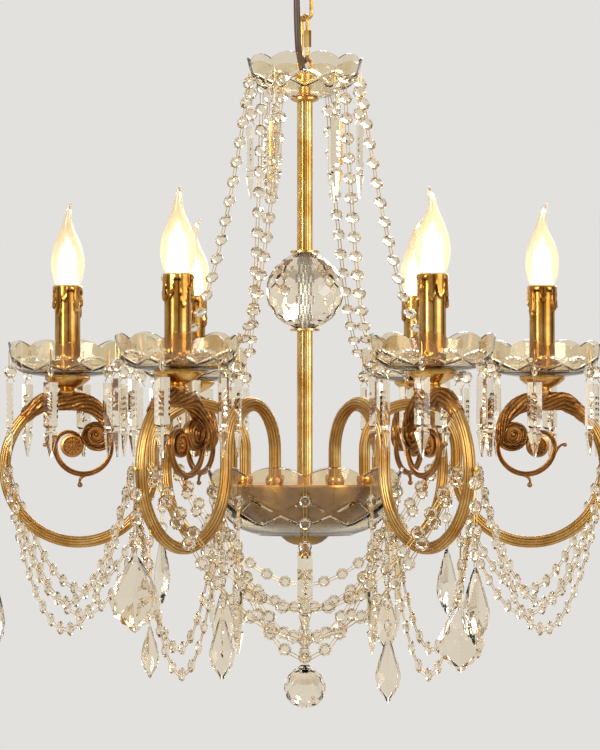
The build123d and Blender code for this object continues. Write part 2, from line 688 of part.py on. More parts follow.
# ------------------------------------------------------------------ arms
def arm_tube():
    """Reeded tube: up from the hub, over a half-round arch and round a wide open loop."""
    arch_x = ARM_ROOT_R + ARCH_R
    foot = (ARM_ROOT_R, HUB_Z - ARM_ROOT_DEPTH)
    path = Plane.XZ * (
        Line(foot, (ARM_ROOT_R, ARCH_Z))
        + CenterArc((arch_x, ARCH_Z), ARCH_R, 180, -180)
        + Line((arch_x + ARCH_R, ARCH_Z), (arch_x + ARCH_R, LOOP_Z))
        + CenterArc((LOOP_X, LOOP_Z), LOOP_R, 180, 180 + LOOP_END)
    )
    start = Plane(origin=(foot[0], 0, foot[1]), z_dir=(0, 0, 1))
    section = start * RegularPolygon(ARM_TUBE_D / 2, ARM_FLUTES)
    stud = Pos(LOOP_X + LOOP_R, 0, LOOP_Z) * Rot(0, 90, 0) * disc(HOOK_STUD_D, 0, STUD_REACH)
    return sweep(section, path=path) + stud


def strip(path, thickness, width):
    """Flat cast strip along a curve in the XZ plane, seen edge-on from Y."""
    curve = Plane.XZ * path
    start = Plane(origin=curve @ 0, x_dir=(0, 1, 0), z_dir=curve % 0)
    return sweep(start * Rectangle(width, thickness), path=curve)


def leaf_and_volute():
    """Claw-shaped leaf from the tube's end to the volute, and the volute with its spiral."""
    eye_x, eye_z = CANDLE_R - VOLUTE_IN, SEAT_Z - VOLUTE_DROP
    ends = [LOOP_R + side * ARM_TUBE_D / 2 for side in (1, -1)]
    angle = radians(LOOP_END)
    back, belly = [(LOOP_X + r * cos(angle), LOOP_Z + r * sin(angle)) for r in ends]
    inner_side = eye_x - VOLUTE_R - LEAF_TIP_W * 0.7
    flat_end = (CANDLE_R - LEAF_FLAT, SEAT_Z)
    back_line = Spline(flat_end, (inner_side, eye_z), tangents=[(-1, 0), (0, -1)])
    turn_in = (eye_x, eye_z - VOLUTE_R)
    roll = Spline((inner_side, eye_z), turn_in, tangents=[(0, -1), (1, 0)])
    under = (CANDLE_R - LEAF_FLAT, SEAT_Z - LEAF_T)
    top = (eye_x - VOLUTE_R * 0.5, eye_z + VOLUTE_R * 0.8)
    belly_line = Spline(top, under, tangents=[(0.5, 1), (1, 0)])
    seat_start = (CANDLE_R + BOSS_D / 2, SEAT_Z)
    outline = Curve() + [
        Line(back, seat_start),
        Line(seat_start, flat_end),
        back_line,
        roll,
        Line(turn_in, top),
        belly_line,
        Line(under, belly),
        Line(belly, back),
    ]
    leaf = extrude(Plane.XZ * make_face(outline), LEAF_W / 2, both=True)
    long_edges = leaf.edges().filter_by(lambda e: abs(e.center().Y) > LEAF_W / 2 - 0.1)
    leaf = chamfer(long_edges.filter_by(lambda e: e.length > LEAF_FLAT), LEAF_W * 0.2)

    eye = Pos(eye_x, 0, eye_z) * Rot(90, 0, 0)
    leaf += eye * disc(2 * VOLUTE_R - VOLUTE_RIDGE, -LEAF_W * 0.36, LEAF_W * 0.36)
    steps = round(24 * VOLUTE_TURNS)
    spiral = []
    for i in range(steps + 1):
        share = i / steps
        radius = (VOLUTE_R - VOLUTE_RIDGE / 2) * (1 - 0.8 * share)
        turn = radians(270 + 360 * VOLUTE_TURNS * share)
        spiral.append((eye_x + radius * cos(turn), eye_z + radius * sin(turn)))
    ridge_w = LEAF_W * 0.72 + 2 * VOLUTE_RELIEF
    return leaf + strip(Spline(*spiral), VOLUTE_RIDGE, ridge_w)


def ring_scroll():
    """Thin scroll from the volute round a wide ring and in round the rosette, with its two tips."""
    ring_x, ring_z = CANDLE_R - RING_IN, SEAT_Z - RING_DROP
    side_x, end_x = ring_x - RING_R, ring_x + RING_R
    rosette_x = CANDLE_R - ROSETTE_IN
    path = Line((side_x, SEAT_Z - VOLUTE_DROP), (side_x, ring_z))
    path += CenterArc((ring_x, ring_z), RING_R, 180, 180)
    path += CenterArc((end_x - INNER_RING_R, ring_z), INNER_RING_R, 0, 150)
    scroll = strip(path, SCROLL_T, SCROLL_W)
    flower = Plane.XZ * Pos(rosette_x, ring_z) * Circle(ROSETTE_D / 2)
    scroll += extrude(flower, SCROLL_W / 2, both=True)

    def on_ring(angle):
        return ring_x + RING_R * cos(radians(angle)), ring_z + RING_R * sin(radians(angle))

    sprig_tip = (CANDLE_R + SPRIG_END[0], SEAT_Z + SPRIG_END[1])
    tail_tip = (CANDLE_R + TAIL_END[0], SEAT_Z + TAIL_END[1])
    sprig = Spline(on_ring(-35), sprig_tip, tangents=[(0.57, 0.82), (1, 0.5)])
    tail = Spline(on_ring(-108), tail_tip, tangents=[(0.95, -0.3), (0, -1)])
    scroll += strip(sprig, SPRIG_T, SPRIG_T) + strip(tail, SPRIG_T, SPRIG_T)
    return scroll + Pos(tail_tip[0], 0, tail_tip[1]) * Sphere(TAIL_BALL_D / 2)


def arm_casting():
    """Cast leaf that closes the loop, its scrolls, and the boss that the drip cup stands on."""
    casting = leaf_and_volute() + ring_scroll()
    casting += Pos(CANDLE_R, 0, 0) * disc(BOSS_D, SEAT_Z - BOSS_H, SEAT_Z)
    casting -= Pos(CANDLE_R, 0, 0) * disc(CUP_NECK_D + 1, SEAT_Z, SEAT_Z + LEAF_T)
    return casting - Pos(CANDLE_R, 0, 0) * disc(NIPPLE_D + 0.2, SEAT_Z - NIPPLE_SINK - 0.2, SEAT_Z)


def arm_pieces():
    tube, casting = arm_tube(), arm_casting()
    for i in range(ARMS):
        write(f"arm_{i + 1}", *around(360 * i / ARMS, tube))
    write("arm_scrolls", *[around(360 * i / ARMS, casting)[0] for i in range(ARMS)])


# ------------------------------------------------------------------ candles
def bulb():
    """Flame bulb with a bent tip and its screw cap, from the top of the candle sleeve."""
    foot, tip_r, tip_z = BULB_FOOT_D / 2, BULB_D * 0.097, BULB_H * 0.734
    widest = (BULB_D / 2, BULB_H * 0.32)
    narrowing = (BULB_D * 0.349, BULB_H * 0.544)
    shoulder = (BULB_D * 0.189, BULB_H * 0.651)
    glass = turned(
        Line((0, -1), (foot, -1)),
        Line((foot, -1), (foot, 1)),
        ThreePointArc((foot, 1), widest, narrowing),
        ThreePointArc(narrowing, shoulder, (tip_r, tip_z)),
        Line((tip_r, tip_z), (0, tip_z)),
        Line((0, tip_z), (0, -1)),
    )
    low = Pos(0, 0, tip_z) * Circle(tip_r)
    high = Pos(TIP_BEND, 0, BULB_H) * Circle(0.8)
    glass += loft([low, high], ruled=True)
    return glass + disc(CAP_D, -CAP_H, -1)


def candle_pieces():
    place = Pos(CANDLE_R, 0, 0)
    nipple_hole = NIPPLE_D + 2 * ROD_CLEAR
    cup = lathe(
        (nipple_hole / 2, SEAT_Z),
        (CUP_NECK_D / 2, SEAT_Z),
        (CUP_NECK_D / 2, SEAT_Z + CUP_NECK_H),
        (DRIP_CUP_D / 2 - 4, SEAT_Z + DRIP_CUP_H * 0.55),
        (DRIP_CUP_D / 2, BOBECHE_Z - 2.5),
        (DRIP_CUP_D / 2, BOBECHE_Z),
        (nipple_hole / 2, BOBECHE_Z),
    )
    dish = Pos(0, 0, BOBECHE_Z) * crystal_dish(BOBECHE, GLASS_WALL, nipple_hole, SCALLOP_DEPTH)
    sleeve = disc(SLEEVE_D, CANDLE_Z, CANDLE_TOP_Z, SLEEVE_D - 2 * SLEEVE_WALL)
    socket_top = CANDLE_TOP_Z - SOCKET_BELOW_TOP
    holder = disc(NIPPLE_D, SEAT_Z - NIPPLE_SINK, socket_top - SOCKET_H)
    holder += disc(SOCKET_D, socket_top - SOCKET_H, socket_top)
    cap_room = disc(CAP_D + 2 * CAP_CLEAR, CANDLE_TOP_Z - CAP_H - CAP_CLEAR, socket_top)
    holder -= cap_room
    lamp = Pos(0, 0, CANDLE_TOP_Z) * bulb()
    cups, holders, sleeves = [], [], []
    for i in range(ARMS):
        angle = 360 * i / ARMS
        cups += around(angle, place * cup)
        holders += around(angle, place * holder)
        sleeves += around(angle, place * sleeve)
        write(f"bobeche_{i + 1}", *around(angle, place * dish))
        write(f"bulb_{i + 1}", *around(angle, place * lamp))
    write("drip_cups", *cups)
    write("lampholders", *holders)
    write("candle_sleeves", *sleeves)


# ------------------------------------------------------------------ crystal dressing
def keep(made, joined):
    """Adds static beads and pins to their two nodes."""
    beads.extend(made)
    pins.extend(joined)


def wall_point(outline, underside, height, angle, centre=(0.0, 0.0)):
    """Point just outside a dish's wall, at a height above its underside."""
    radius = radius_at(outline, height) + PIN_R + PIN_GAP
    return at(angle, radius, underside + height, centre)


def bowl_hole(angle):
    """Hole near the rim of the glass bowl."""
    return wall_point(GLASS_BOWL, BOWL_Z, BOWL_HOLE_H, angle)


def stood_off(point, angle, reach):
    """End of a short pin that stands out from a hole."""
    end = point + at(angle, reach, 0)
    pins.append(pin(point - at(angle, PIN_R, 0), end))
    return end


def spear_drop(start, count, facing_angle, first=BEAD_PITCH / 2):
    """Beads with a spear under them, all static."""
    made, joined, low = drop(start, count, facing_angle, first)
    keep(made, joined)
    spears.append(hang(SPEAR, low, facing_angle))


def hook(arm, side, turn=0.0):
    """End of the pin that holds a swag on one side of an arm, turned down from its outermost point."""
    angle = 360 * arm / ARMS
    across = ARM_TUBE_D / 2 + PIN_R + PIN_GAP
    radius = LOOP_X + LOOP_R * cos(radians(turn))
    height = LOOP_Z - LOOP_R * sin(radians(turn))
    foot = at(angle, radius, height) + at(angle + 90, side * across, 0)
    return stood_off(foot, angle + 90 * side, HOOK_REACH)


def tents_and_dish_drops():
    """Strands from the top dish to the bobeches of the front and back arms, and a drop by each."""
    for hook_angle, arm, hole_angle in TENTS:
        centre = at(360 * arm / ARMS, CANDLE_R, 0)
        start = wall_point(TOP_DISH, DISH_Z, DISH_HOLE_H, hook_angle + DISH_SPREAD)
        hole = wall_point(BOBECHE, BOBECHE_Z, BOBECHE_HOLE_H, hole_angle, (centre.X, centre.Y))
        keep(*swag(start, stood_off(hole, hole_angle, HOOK_REACH), TENT_SAG))
        side = hook_angle - DISH_SPREAD
        spear_drop(wall_point(TOP_DISH, DISH_Z, DISH_HOLE_H, side), 2, side, DISH_FIRST_PIN)


def bobeche_spears():
    """A spear under each of six holes in every bobeche."""
    for i in range(ARMS):
        centre = at(360 * i / ARMS, CANDLE_R, 0)
        for k in range(6):
            turn = 360 * i / ARMS + BOBECHE_SPEAR_TURN + 60 * k
            start = wall_point(BOBECHE, BOBECHE_Z, BOBECHE_HOLE_H, turn, (centre.X, centre.Y))
            spear_drop(start, 1, turn, BOBECHE_FIRST_PIN)


def swags():
    """Strands from arm to arm, from the bowl to the front arms, and under the bowl."""
    for i in range(ARMS):
        keep(*swag(hook(i, 1), hook((i + 1) % ARMS, -1), SWAG_SAG))
    low, high = BOWL_SWAG_HOLES
    for arm, side, angle in ((4, -1, low), (5, 1, high)):
        start = stood_off(bowl_hole(angle), angle, BOWL_SWAG_REACH)
        keep(*swag(start, hook(arm, side, BOWL_SWAG_TURN), BOWL_SWAG_SAG))
    ends = [stood_off(bowl_hole(angle), angle, UNDER_REACH) for angle in UNDER_HOLES]
    keep(*swag(*ends, UNDER_SAG))


def bowl_drops():
    """Spears and small pendants hung from the rim of the glass bowl."""
    for angle, count in BOWL_SPEARS:
        spear_drop(bowl_hole(angle), count, angle, BOWL_FIRST_PIN)
    stones = []
    for angle, count in BOWL_PENDANTS:
        made, joined, low = drop(bowl_hole(angle), count, angle)
        keep(made, joined)
        stones.append(hang(make_pendant(*SMALL_PENDANT), low, 270))
    write("bowl_pendants", *stones)


def arm_pendants():
    """Leaf pendants with their beads, each a swinging piece of its own."""
    outer = (LOOP_X + LOOP_R + HOOK_OUT, LOOP_Z - HOOK_STUD_D / 2, 0)
    tube_r = LOOP_R + ARM_TUBE_D / 2 + PIN_R
    turn = radians(INNER_PENDANT_TURN)
    inner = (LOOP_X + tube_r * cos(turn), LOOP_Z - tube_r * sin(turn), 90)
    for k, (arm, is_inner, first, count, size, facing) in enumerate(PENDANTS):
        radius, height, across = inner if is_inner else outer
        angle = 360 * arm / ARMS
        made, joined, low = drop(at(angle, radius, height), count, angle + across, first)
        stone = hang(make_pendant(*size), low, facing)
        write(f"pendant_{k + 1}", *made, *joined, stone)


def bottom_drop():
    """Bead, long crystal, two beads and the faceted ball under the finial."""
    start = Vector(0, 0, FINIAL_Z - EYE_D)
    made, joined, low = drop(start, 1, 270, 12.0)
    ring = [(-PIN_GAP, 1.2), (-8, 4.5), (-30, 5.5), (-36, 1.2)]
    crystal = flat_faced([ring_of(6, r, h) for h, r in ring])
    below = low - Vector(0, 0, 36 + PIN_GAP)
    more, pins_below, foot = drop(below, 2, 270, 10.0)
    radius = DROP_BALL_D / 2
    rings = [ring_of(12, 1.5, -PIN_GAP)]
    for i in range(6):
        lift = radians(60 - 25 * i)
        rings.append(ring_of(12, radius * cos(lift), radius * (sin(lift) - 1) - 3))
    ball = flat_faced(rings + [[(0, 0, -DROP_BALL_D - 3)]])
    stones = [Pos(0, 0, low.Z) * crystal, Pos(0, 0, foot.Z) * ball]
    write("bottom_drop", *made, *joined, *more, *pins_below, *stones)


def main():
    os.makedirs("parts", exist_ok=True)
    ceiling_pieces()
    chain_pieces()
    stem_pieces()
    hub_pieces()
    arm_pieces()
    candle_pieces()
    tents_and_dish_drops()
    bobeche_spears()
    swags()
    bowl_drops()
    arm_pendants()
    bottom_drop()
    write("strand_beads", *beads)
    write("bead_pins", *pins)
    write("spear_prisms", *spears)
    print("beads", len(beads), "spears", len(spears))


main()
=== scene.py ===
from math import atan2, cos, exp, hypot, pi, radians, sin, sqrt, tau

import bmesh
import bpy
from mathutils import Matrix, Vector


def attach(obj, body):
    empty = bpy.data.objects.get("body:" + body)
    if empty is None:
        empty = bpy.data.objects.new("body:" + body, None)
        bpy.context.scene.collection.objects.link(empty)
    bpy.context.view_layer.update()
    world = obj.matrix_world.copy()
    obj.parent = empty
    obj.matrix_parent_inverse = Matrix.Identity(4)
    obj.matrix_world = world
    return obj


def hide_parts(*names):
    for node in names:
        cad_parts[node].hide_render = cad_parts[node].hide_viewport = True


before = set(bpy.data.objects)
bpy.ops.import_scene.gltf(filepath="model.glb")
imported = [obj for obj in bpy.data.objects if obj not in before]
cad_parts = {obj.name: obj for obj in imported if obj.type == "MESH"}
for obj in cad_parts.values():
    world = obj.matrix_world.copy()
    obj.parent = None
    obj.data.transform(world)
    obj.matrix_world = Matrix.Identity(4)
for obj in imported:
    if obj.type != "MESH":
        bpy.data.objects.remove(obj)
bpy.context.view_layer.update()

# Crystal chandelier with six arms. Lengths are in millimetres until a piece is finished, +Z up,
# and the ceiling plane is Z = 0. The sizes that shape the pieces are those of the CAD source.
MM = 0.001
ARMS = 6

# ---- sizes
ARM_ROOT_R, ARCH_R, ARCH_Z = 61.0, 47.0, -560.0
LOOP_X, LOOP_Z, LOOP_R = 231.0, -578.0, 76.0
LOOP_END = 64.0
HUB_Z = -595.0
CANDLE_R, SEAT_Z = 243.0, -501.5
BOBECHE_Z, CANDLE_Z, CANDLE_TOP_Z = -485.3, -481.8, -391.8
DISH_Z, BOWL_Z = -197.5, -647.0
BALL_Z, BALL_R, BALL_HALF_H = -397.0, 39.5, 39.0
STEM_R, BORE_R, BULB_H = 8.0, 5.2, 84.5
SCALLOPS = 10

# ---- camera at the photograph's angle
CAMERA_AWAY, CAMERA_SIDE, CAMERA_Z = 3.1, -0.005, -0.56  # in metres
CAMERA_PITCH, CAMERA_LENS = 1.42, 145.4


def linked(name, data):
    """New object in the scene."""
    made = bpy.data.objects.new(name, data)
    bpy.context.scene.collection.objects.link(made)
    return made


camera = linked("camera", bpy.data.cameras.new("camera"))
camera.location = (CAMERA_SIDE, -CAMERA_AWAY, CAMERA_Z)
camera.rotation_euler = (radians(90 + CAMERA_PITCH), 0, 0)
camera.data.lens = CAMERA_LENS
camera.data.sensor_width = 36.0
bpy.context.scene.camera = camera


# ---- ways of making a material
def colour(code):
    """Linear RGBA from an sRGB hex value."""
    parts = [part / 255 for part in bytes.fromhex(code[1:])]
    linear = [p / 12.92 if p <= 0.04045 else ((p + 0.055) / 1.055) ** 2.4 for p in parts]
    return (*linear, 1.0)


def add(tree, kind, settings=None, **inputs):
    """One shader node with its settings, and a value or a link for each named input."""
    node = tree.nodes.new(f"ShaderNode{kind}")
    for key, value in (settings or {}).items():
        setattr(node, key, value)
    for key, value in inputs.items():
        socket = node.inputs[int(key[1:])] if key[0] == "_" else node.inputs[key.replace("_", " ")]
        if isinstance(value, bpy.types.NodeSocket):
            tree.links.new(value, socket)
        else:
            socket.default_value = value
    return node


def material(name):
    """Empty node material and its tree."""
    made = bpy.data.materials.new(name)
    made.use_nodes = True
    made.node_tree.nodes.clear()
    return made, made.node_tree


def shown(tree, shader, kind="Material"):
    """Put a shader's first output on the tree's surface."""
    tree.links.new(shader.outputs[0], add(tree, f"Output{kind}").inputs["Surface"])


def surfaced(tree, tone, metallic, gloss, lift):
    """Opaque surface with its tone, and the nodes that give its gloss and its bumps."""
    looks = {"Roughness": gloss.outputs["Result"], "Normal": lift.outputs["Normal"]}
    shown(tree, add(tree, "BsdfPrincipled", Base_Color=tone, Metallic=metallic, **looks))


def ramp(tree, value, *stops):
    """Colour ramp over a value, with stops of (place, hex)."""
    node = add(tree, "ValToRGB", _0=value)
    elements = node.color_ramp.elements
    while len(elements) < len(stops):
        elements.new(0.5)
    for element, (place, code) in zip(elements, stops):
        element.position = place
        element.color = colour(code)
    return node.outputs["Color"]


def brass(name, stops, rough, grain=260.0, bump=0.02, hollow_patina_and_shade=None):
    """Lacquered brass: mottled tone at hand size, fine polishing grain in gloss and bump."""
    made, tree = material(name)
    where = add(tree, "TexCoord").outputs["Object"]
    cloud = add(tree, "TexNoise", Vector=where, Scale=38.0, Detail=4.0, Roughness=0.6)
    tone = ramp(tree, cloud.outputs["Fac"], *stops)
    # A given hollow colour darkens the mesh's hollows by its pointiness: real patina on the cast brass,
    # painted shade on the arms' reeds and round the sleeves' drips.
    if hollow_patina_and_shade:
        edge = add(tree, "NewGeometry").outputs["Pointiness"]
        patina_and_shade_mask = add(tree, "MapRange", Value=edge, From_Min=0.44, From_Max=0.56)
        mix = {"data_type": "RGBA"}
        low = add(tree, "Mix", mix, _0=patina_and_shade_mask.outputs["Result"], _6=colour(hollow_patina_and_shade), _7=tone)
        tone = low.outputs[2]
    fine = add(tree, "TexNoise", Vector=where, Scale=grain, Detail=3.0)
    gloss = add(tree, "MapRange", Value=fine.outputs["Fac"], To_Min=rough[0], To_Max=rough[1])
    lift = add(tree, "Bump", Height=fine.outputs["Fac"], Strength=bump, Distance=0.001)
    surfaced(tree, tone, 1.0, gloss, lift)
    return made


def crystal(name, tint, rough, ior, lit=None, strength=0.0):
    """Clear glass: full transmission, light gets through to what stands behind it; lit glass glows."""
    made, tree = material(name)
    where = add(tree, "TexCoord").outputs["Object"]
    swirl = add(tree, "TexNoise", Vector=where, Scale=45.0, Detail=2.0)
    lift = add(tree, "Bump", Height=swirl.outputs["Fac"], Strength=0.03, Distance=0.001)
    shader = add(
        tree,
        "BsdfPrincipled",
        Base_Color=colour(tint),
        Roughness=rough,
        IOR=ior,
        Transmission_Weight=1.0,
        Emission_Strength=strength,
        Normal=lift.outputs["Normal"],
    )
    if lit:
        height = add(tree, "SeparateXYZ", Vector=where).outputs["Z"]
        low, high = CANDLE_TOP_Z * MM, (CANDLE_TOP_Z + BULB_H) * MM
        share = add(tree, "MapRange", Value=height, From_Min=low, From_Max=high)
        tree.links.new(ramp(tree, share.outputs["Result"], *lit), shader.inputs["Emission Color"])
    path = add(tree, "LightPath")
    clear = add(tree, "BsdfTransparent", Color=colour(tint))
    shadow = path.outputs["Is Shadow Ray"]
    shown(tree, add(tree, "MixShader", _0=shadow, _1=shader.outputs[0], _2=clear.outputs[0]))
    return made


def plain(name, code, rough, speckle=0.03, metallic=0.0):
    """Moulded or plated surface: one tone with a faint cloud, fine grain in its gloss."""
    made, tree = material(name)
    where = add(tree, "TexCoord").outputs["Object"]
    cloud = add(tree, "TexNoise", Vector=where, Scale=120.0, Detail=4.0)
    shade = cloud.outputs["Fac"]
    value = add(tree, "MapRange", Value=shade, To_Min=1 - speckle * 3, To_Max=1 + speckle)
    tone = add(tree, "HueSaturation", Value=value.outputs["Result"], Color=colour(code))
    gloss = add(tree, "MapRange", Value=shade, To_Min=rough - 0.08, To_Max=rough + 0.08)
    lift = add(tree, "Bump", Height=shade, Strength=0.05, Distance=0.001)
    surfaced(tree, tone.outputs["Color"], metallic, gloss, lift)
    return made


def glowing(name, code, strength):
    """Surface that gives its own light."""
    made, tree = material(name)
    shown(tree, add(tree, "Emission", Color=colour(code), Strength=strength))
    return made


# Polished and lacquered brass is warm yellow, with a soft blur in what it mirrors.
TONES = [(0.35, "#B8893C"), (0.5, "#CFA45C"), (0.68, "#E2C386")]
POLISHED = brass("lacquered_brass", TONES, (0.16, 0.3))
# The same brass on the arms, with painted shade darkening the hollows of the reeds.
TONES = [(0.35, "#B08242"), (0.5, "#C79E5C"), (0.68, "#DDBF82")]
GROOVED = brass("reed_shaded_brass", TONES, (0.26, 0.4), hollow_patina_and_shade="#7C5222")
# Glossier on the candle sleeves, with painted brown shade round their drips.
TONES = [(0.35, "#B08038"), (0.5, "#C99C52"), (0.68, "#DEBB78")]
DRIPPED = brass("drip_shaded_brass", TONES, (0.14, 0.26), hollow_patina_and_shade="#6E4418")
# Cast brass with a brown patina: dark in its hollows, rubbed bright along its edges.
TONES = [(0.35, "#84592C"), (0.5, "#A06E3A"), (0.7, "#BE8C50")]
PATINA = brass("patina_brass", TONES, (0.26, 0.42), grain=900.0, bump=0.03, hollow_patina_and_shade="#3A2210")
# Spun brass left dull under the glass: olive brown, a broad soft sheen.
SATIN = brass("satin_brass", [(0.35, "#6E5224"), (0.5, "#86682F"), (0.7, "#9C7E40")], (0.34, 0.5))
WIRE = brass("brass_wire", [(0.4, "#C9A355"), (0.6, "#E3C27C")], (0.2, 0.3))
# Glass: the pressed dishes, the ground stones, and bulbs whose glow fades towards the tip.
CUT_GLASS = crystal("pressed_crystal", "#F2E7D0", 0.03, 1.5)
STONE = crystal("cut_crystal", "#F4E9D4", 0.0, 1.56)
LIT = [(0.0, "#FFE8C2"), (0.3, "#FFF3DE"), (0.6, "#C9B595"), (0.85, "#3A3024")]
BULB_GLASS = crystal("bulb_glass", "#FFEFD4", 0.24, 1.45, LIT, 0.1)
FILAMENT = glowing("lit_filament", "#FFF1D8", 7.0)
STEEL = plain("zinc_plated_steel", "#A9ABAD", 0.35, metallic=1.0)
RUBBER = plain("red_rubber", "#8A4630", 0.5)
CORD_SHEATH = plain("brown_cord_sheath", "#4A2F20", 0.38)
DARK_PLASTIC = plain("dark_nylon", "#2A1D14", 0.45)
WHITE_PLASTIC = plain("white_nylon", "#E6E3DA", 0.4)


# ---- ways of making a piece
def meshed(name, shape, skin):
    """Mesh of one material from a shape, which is freed."""
    mesh = bpy.data.meshes.new(name)
    shape.to_mesh(mesh)
    shape.free()
    mesh.materials.append(skin)
    return mesh


def finish(name, shape, skin, *nodes, body="fixture", edge_angle=35.0):
    """A shape in millimetres becomes a piece in metres on a body, in place of the nodes' solids."""
    bmesh.ops.scale(shape, vec=(MM, MM, MM), verts=shape.verts)
    mesh = meshed(name, shape, skin)
    if skin == STONE:
        mesh.shade_flat()
    else:
        mesh.shade_smooth()
        mesh.set_sharp_from_angle(angle=radians(edge_angle))
    piece = linked(name, mesh)
    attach(piece, body)
    if nodes:
        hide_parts(*nodes)


def at(x, y, z):
    """Matrix that moves."""
    return Matrix.Translation((x, y, z))


def turned(degrees, axis="Z"):
    """Matrix that turns."""
    return Matrix.Rotation(radians(degrees), 4, axis)


def knob(shape, u, v, place, radius=1):
    """Add a ball to a shape."""
    bmesh.ops.create_uvsphere(shape, u_segments=u, v_segments=v, radius=radius, matrix=place)


def moved(shape, matrix):
    """The shape, moved by a matrix."""
    bmesh.ops.transform(shape, matrix=matrix, verts=shape.verts)
    return shape


def outward(shape):
    """The shape, with all its faces turned outwards."""
    bmesh.ops.recalc_face_normals(shape, faces=shape.faces)
    return shape


def edges_at(verts):
    """All edges that meet some verts, in the same order each run, which a set's would not be."""
    return list(dict.fromkeys(edge for vert in verts for edge in vert.link_edges))


def squeezed(vert, factor):
    """Scale a vert's distance from the Z axis."""
    vert.co.x *= factor
    vert.co.y *= factor


def spun(points, steps):
    """Turned shape about Z from a closed profile of (radius, height)."""
    shape = bmesh.new()
    verts = [shape.verts.new((r, 0, z)) for r, z in points]
    pairs = zip(verts, verts[1:] + verts[:1])
    edges = [shape.edges.new(pair) for pair in pairs if pair[0].co.x + pair[1].co.x > 0.01]
    bmesh.ops.spin(
        shape, geom=verts + edges, axis=(0, 0, 1), cent=(0, 0, 0), angle=tau, steps=steps, use_merge=True
    )
    bmesh.ops.remove_doubles(shape, verts=shape.verts, dist=0.001)
    return outward(shape)


def joined(shapes):
    """One mesh that holds copies of several, each placed by its matrix."""
    whole = bmesh.new()
    for shape, place in shapes:
        mesh = bpy.data.meshes.new("part")
        shape.to_mesh(mesh)
        mesh.transform(place)
        whole.from_mesh(mesh)
        bpy.data.meshes.remove(mesh)
    return whole


def about_stem(shape):
    """A copy of a shape for each arm, in one mesh; the shape is freed."""
    whole = joined([(shape, turned(360 * i / ARMS)) for i in range(ARMS)])
    shape.free()
    return whole


def skinned(shape, rings):
    """The shape, bridged from ring to ring of verts and closed at both ends."""
    loops = [edges_at(verts) for verts in rings]
    for end in (loops[0], loops[-1]):
        bmesh.ops.edgeloop_fill(shape, edges=end)
    for one, two in zip(loops, loops[1:]):
        bmesh.ops.bridge_loops(shape, edges=one + two)
    return outward(shape)


def loft(shape, stations, ring):
    """Skin over rings of points; each station is a matrix and what its ring needs."""
    rings = []
    for place, *words in stations:
        verts = bmesh.ops.create_circle(shape, segments=ring.count, radius=1.0)["verts"]
        for i, vert in enumerate(verts):
            vert.co = place @ ring(i, *words)
        rings.append(verts)
    skinned(shape, rings)


def axes(x, y, z):
    """Matrix that turns the axes to three directions."""
    return Matrix((x, y, z)).transposed().to_4x4()


def upright(point, along):
    """Matrix at a point of the XZ plane: local Z along the path, local Y across it."""
    along = along.normalized()
    across = Vector((0, 1, 0))
    return Matrix.Translation(point) @ axes(across.cross(along), across, along)


def islands(node):
    """The separate solids of a CAD node, as lists of points in millimetres, in the mesh's order."""
    shape = bmesh.new()
    shape.from_mesh(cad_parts[node].data)
    bmesh.ops.remove_doubles(shape, verts=shape.verts, dist=1e-5)
    seen, groups = set(), []
    for first in shape.verts:
        stack, group = [first], []
        while stack:
            vert = stack.pop()
            if vert not in seen:
                seen.add(vert)
                group.append(vert.co / MM)
                stack += [edge.other_vert(vert) for edge in vert.link_edges]
        if group:
            groups.append(group)
    shape.free()
    return groups


# ---- supply cord
CORD_POINTS = [
    (-7.6, -14.0, -15.0),
    (-7.6, -14.0, -60.0),
    (-8.4, -14.5, -102.0),
    (-7.3, -13.8, -140.75),
    (-5.7, -10.4, -159.75),
    (-0.4, -0.7, -175.65),
]
CORD_D, CORD_LENGTH = 6.8, 164.2

curve = bpy.data.curves.new("supply_cord_sheath", "CURVE")
curve.dimensions = "3D"
spline = curve.splines.new("NURBS")
spline.points.add(len(CORD_POINTS) - 1)
for spot, (x, y, z) in zip(spline.points, CORD_POINTS):
    spot.co = (x * MM, y * MM, z * MM, 1)
spline.order_u = 3
spline.use_endpoint_u = True
spline.resolution_u = 16
curve.bevel_depth = CORD_D / 2 * MM
curve.bevel_resolution = 5
curve.use_fill_caps = True
curve.materials.append(CORD_SHEATH)
cord = linked("supply_cord_sheath", curve)
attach(cord, "ceiling")
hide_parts("supply_cord")

# ---- reeded tubes
TUBE_R, REEDS, REED_DEPTH = 6.0, 12, 0.75
ROOT_DEPTH = 10.0  # of an arm's foot in the hub
STEM_FLUTES, FLUTE_DEPTH = 10, 0.5


def reeded_ring(shape):
    """Ring of an arm's tube at its foot, round-backed ribs with sharp valleys."""
    verts = bmesh.ops.create_circle(shape, segments=REEDS * 4, radius=TUBE_R)["verts"]
    for vert in verts:
        rib = abs(sin(atan2(vert.co.y, vert.co.x) * REEDS / 2))
        vert.co *= (TUBE_R - REED_DEPTH + REED_DEPTH * rib**0.8) / TUBE_R
        vert.co += Vector((ARM_ROOT_R, 0, HUB_Z - ROOT_DEPTH))
    return edges_at(verts)


def edges_in(geom):
    """The edges in what an operator gave back."""
    return [item for item in geom if isinstance(item, bmesh.types.BMEdge)]


def pulled(shape, edges, height):
    """The ring of edges that a straight length of tube ends in."""
    geom = bmesh.ops.extrude_edge_only(shape, edges=edges)["geom"]
    verts = [item for item in geom if isinstance(item, bmesh.types.BMVert)]
    bmesh.ops.translate(shape, verts=verts, vec=(0, 0, height))
    return edges_in(geom)


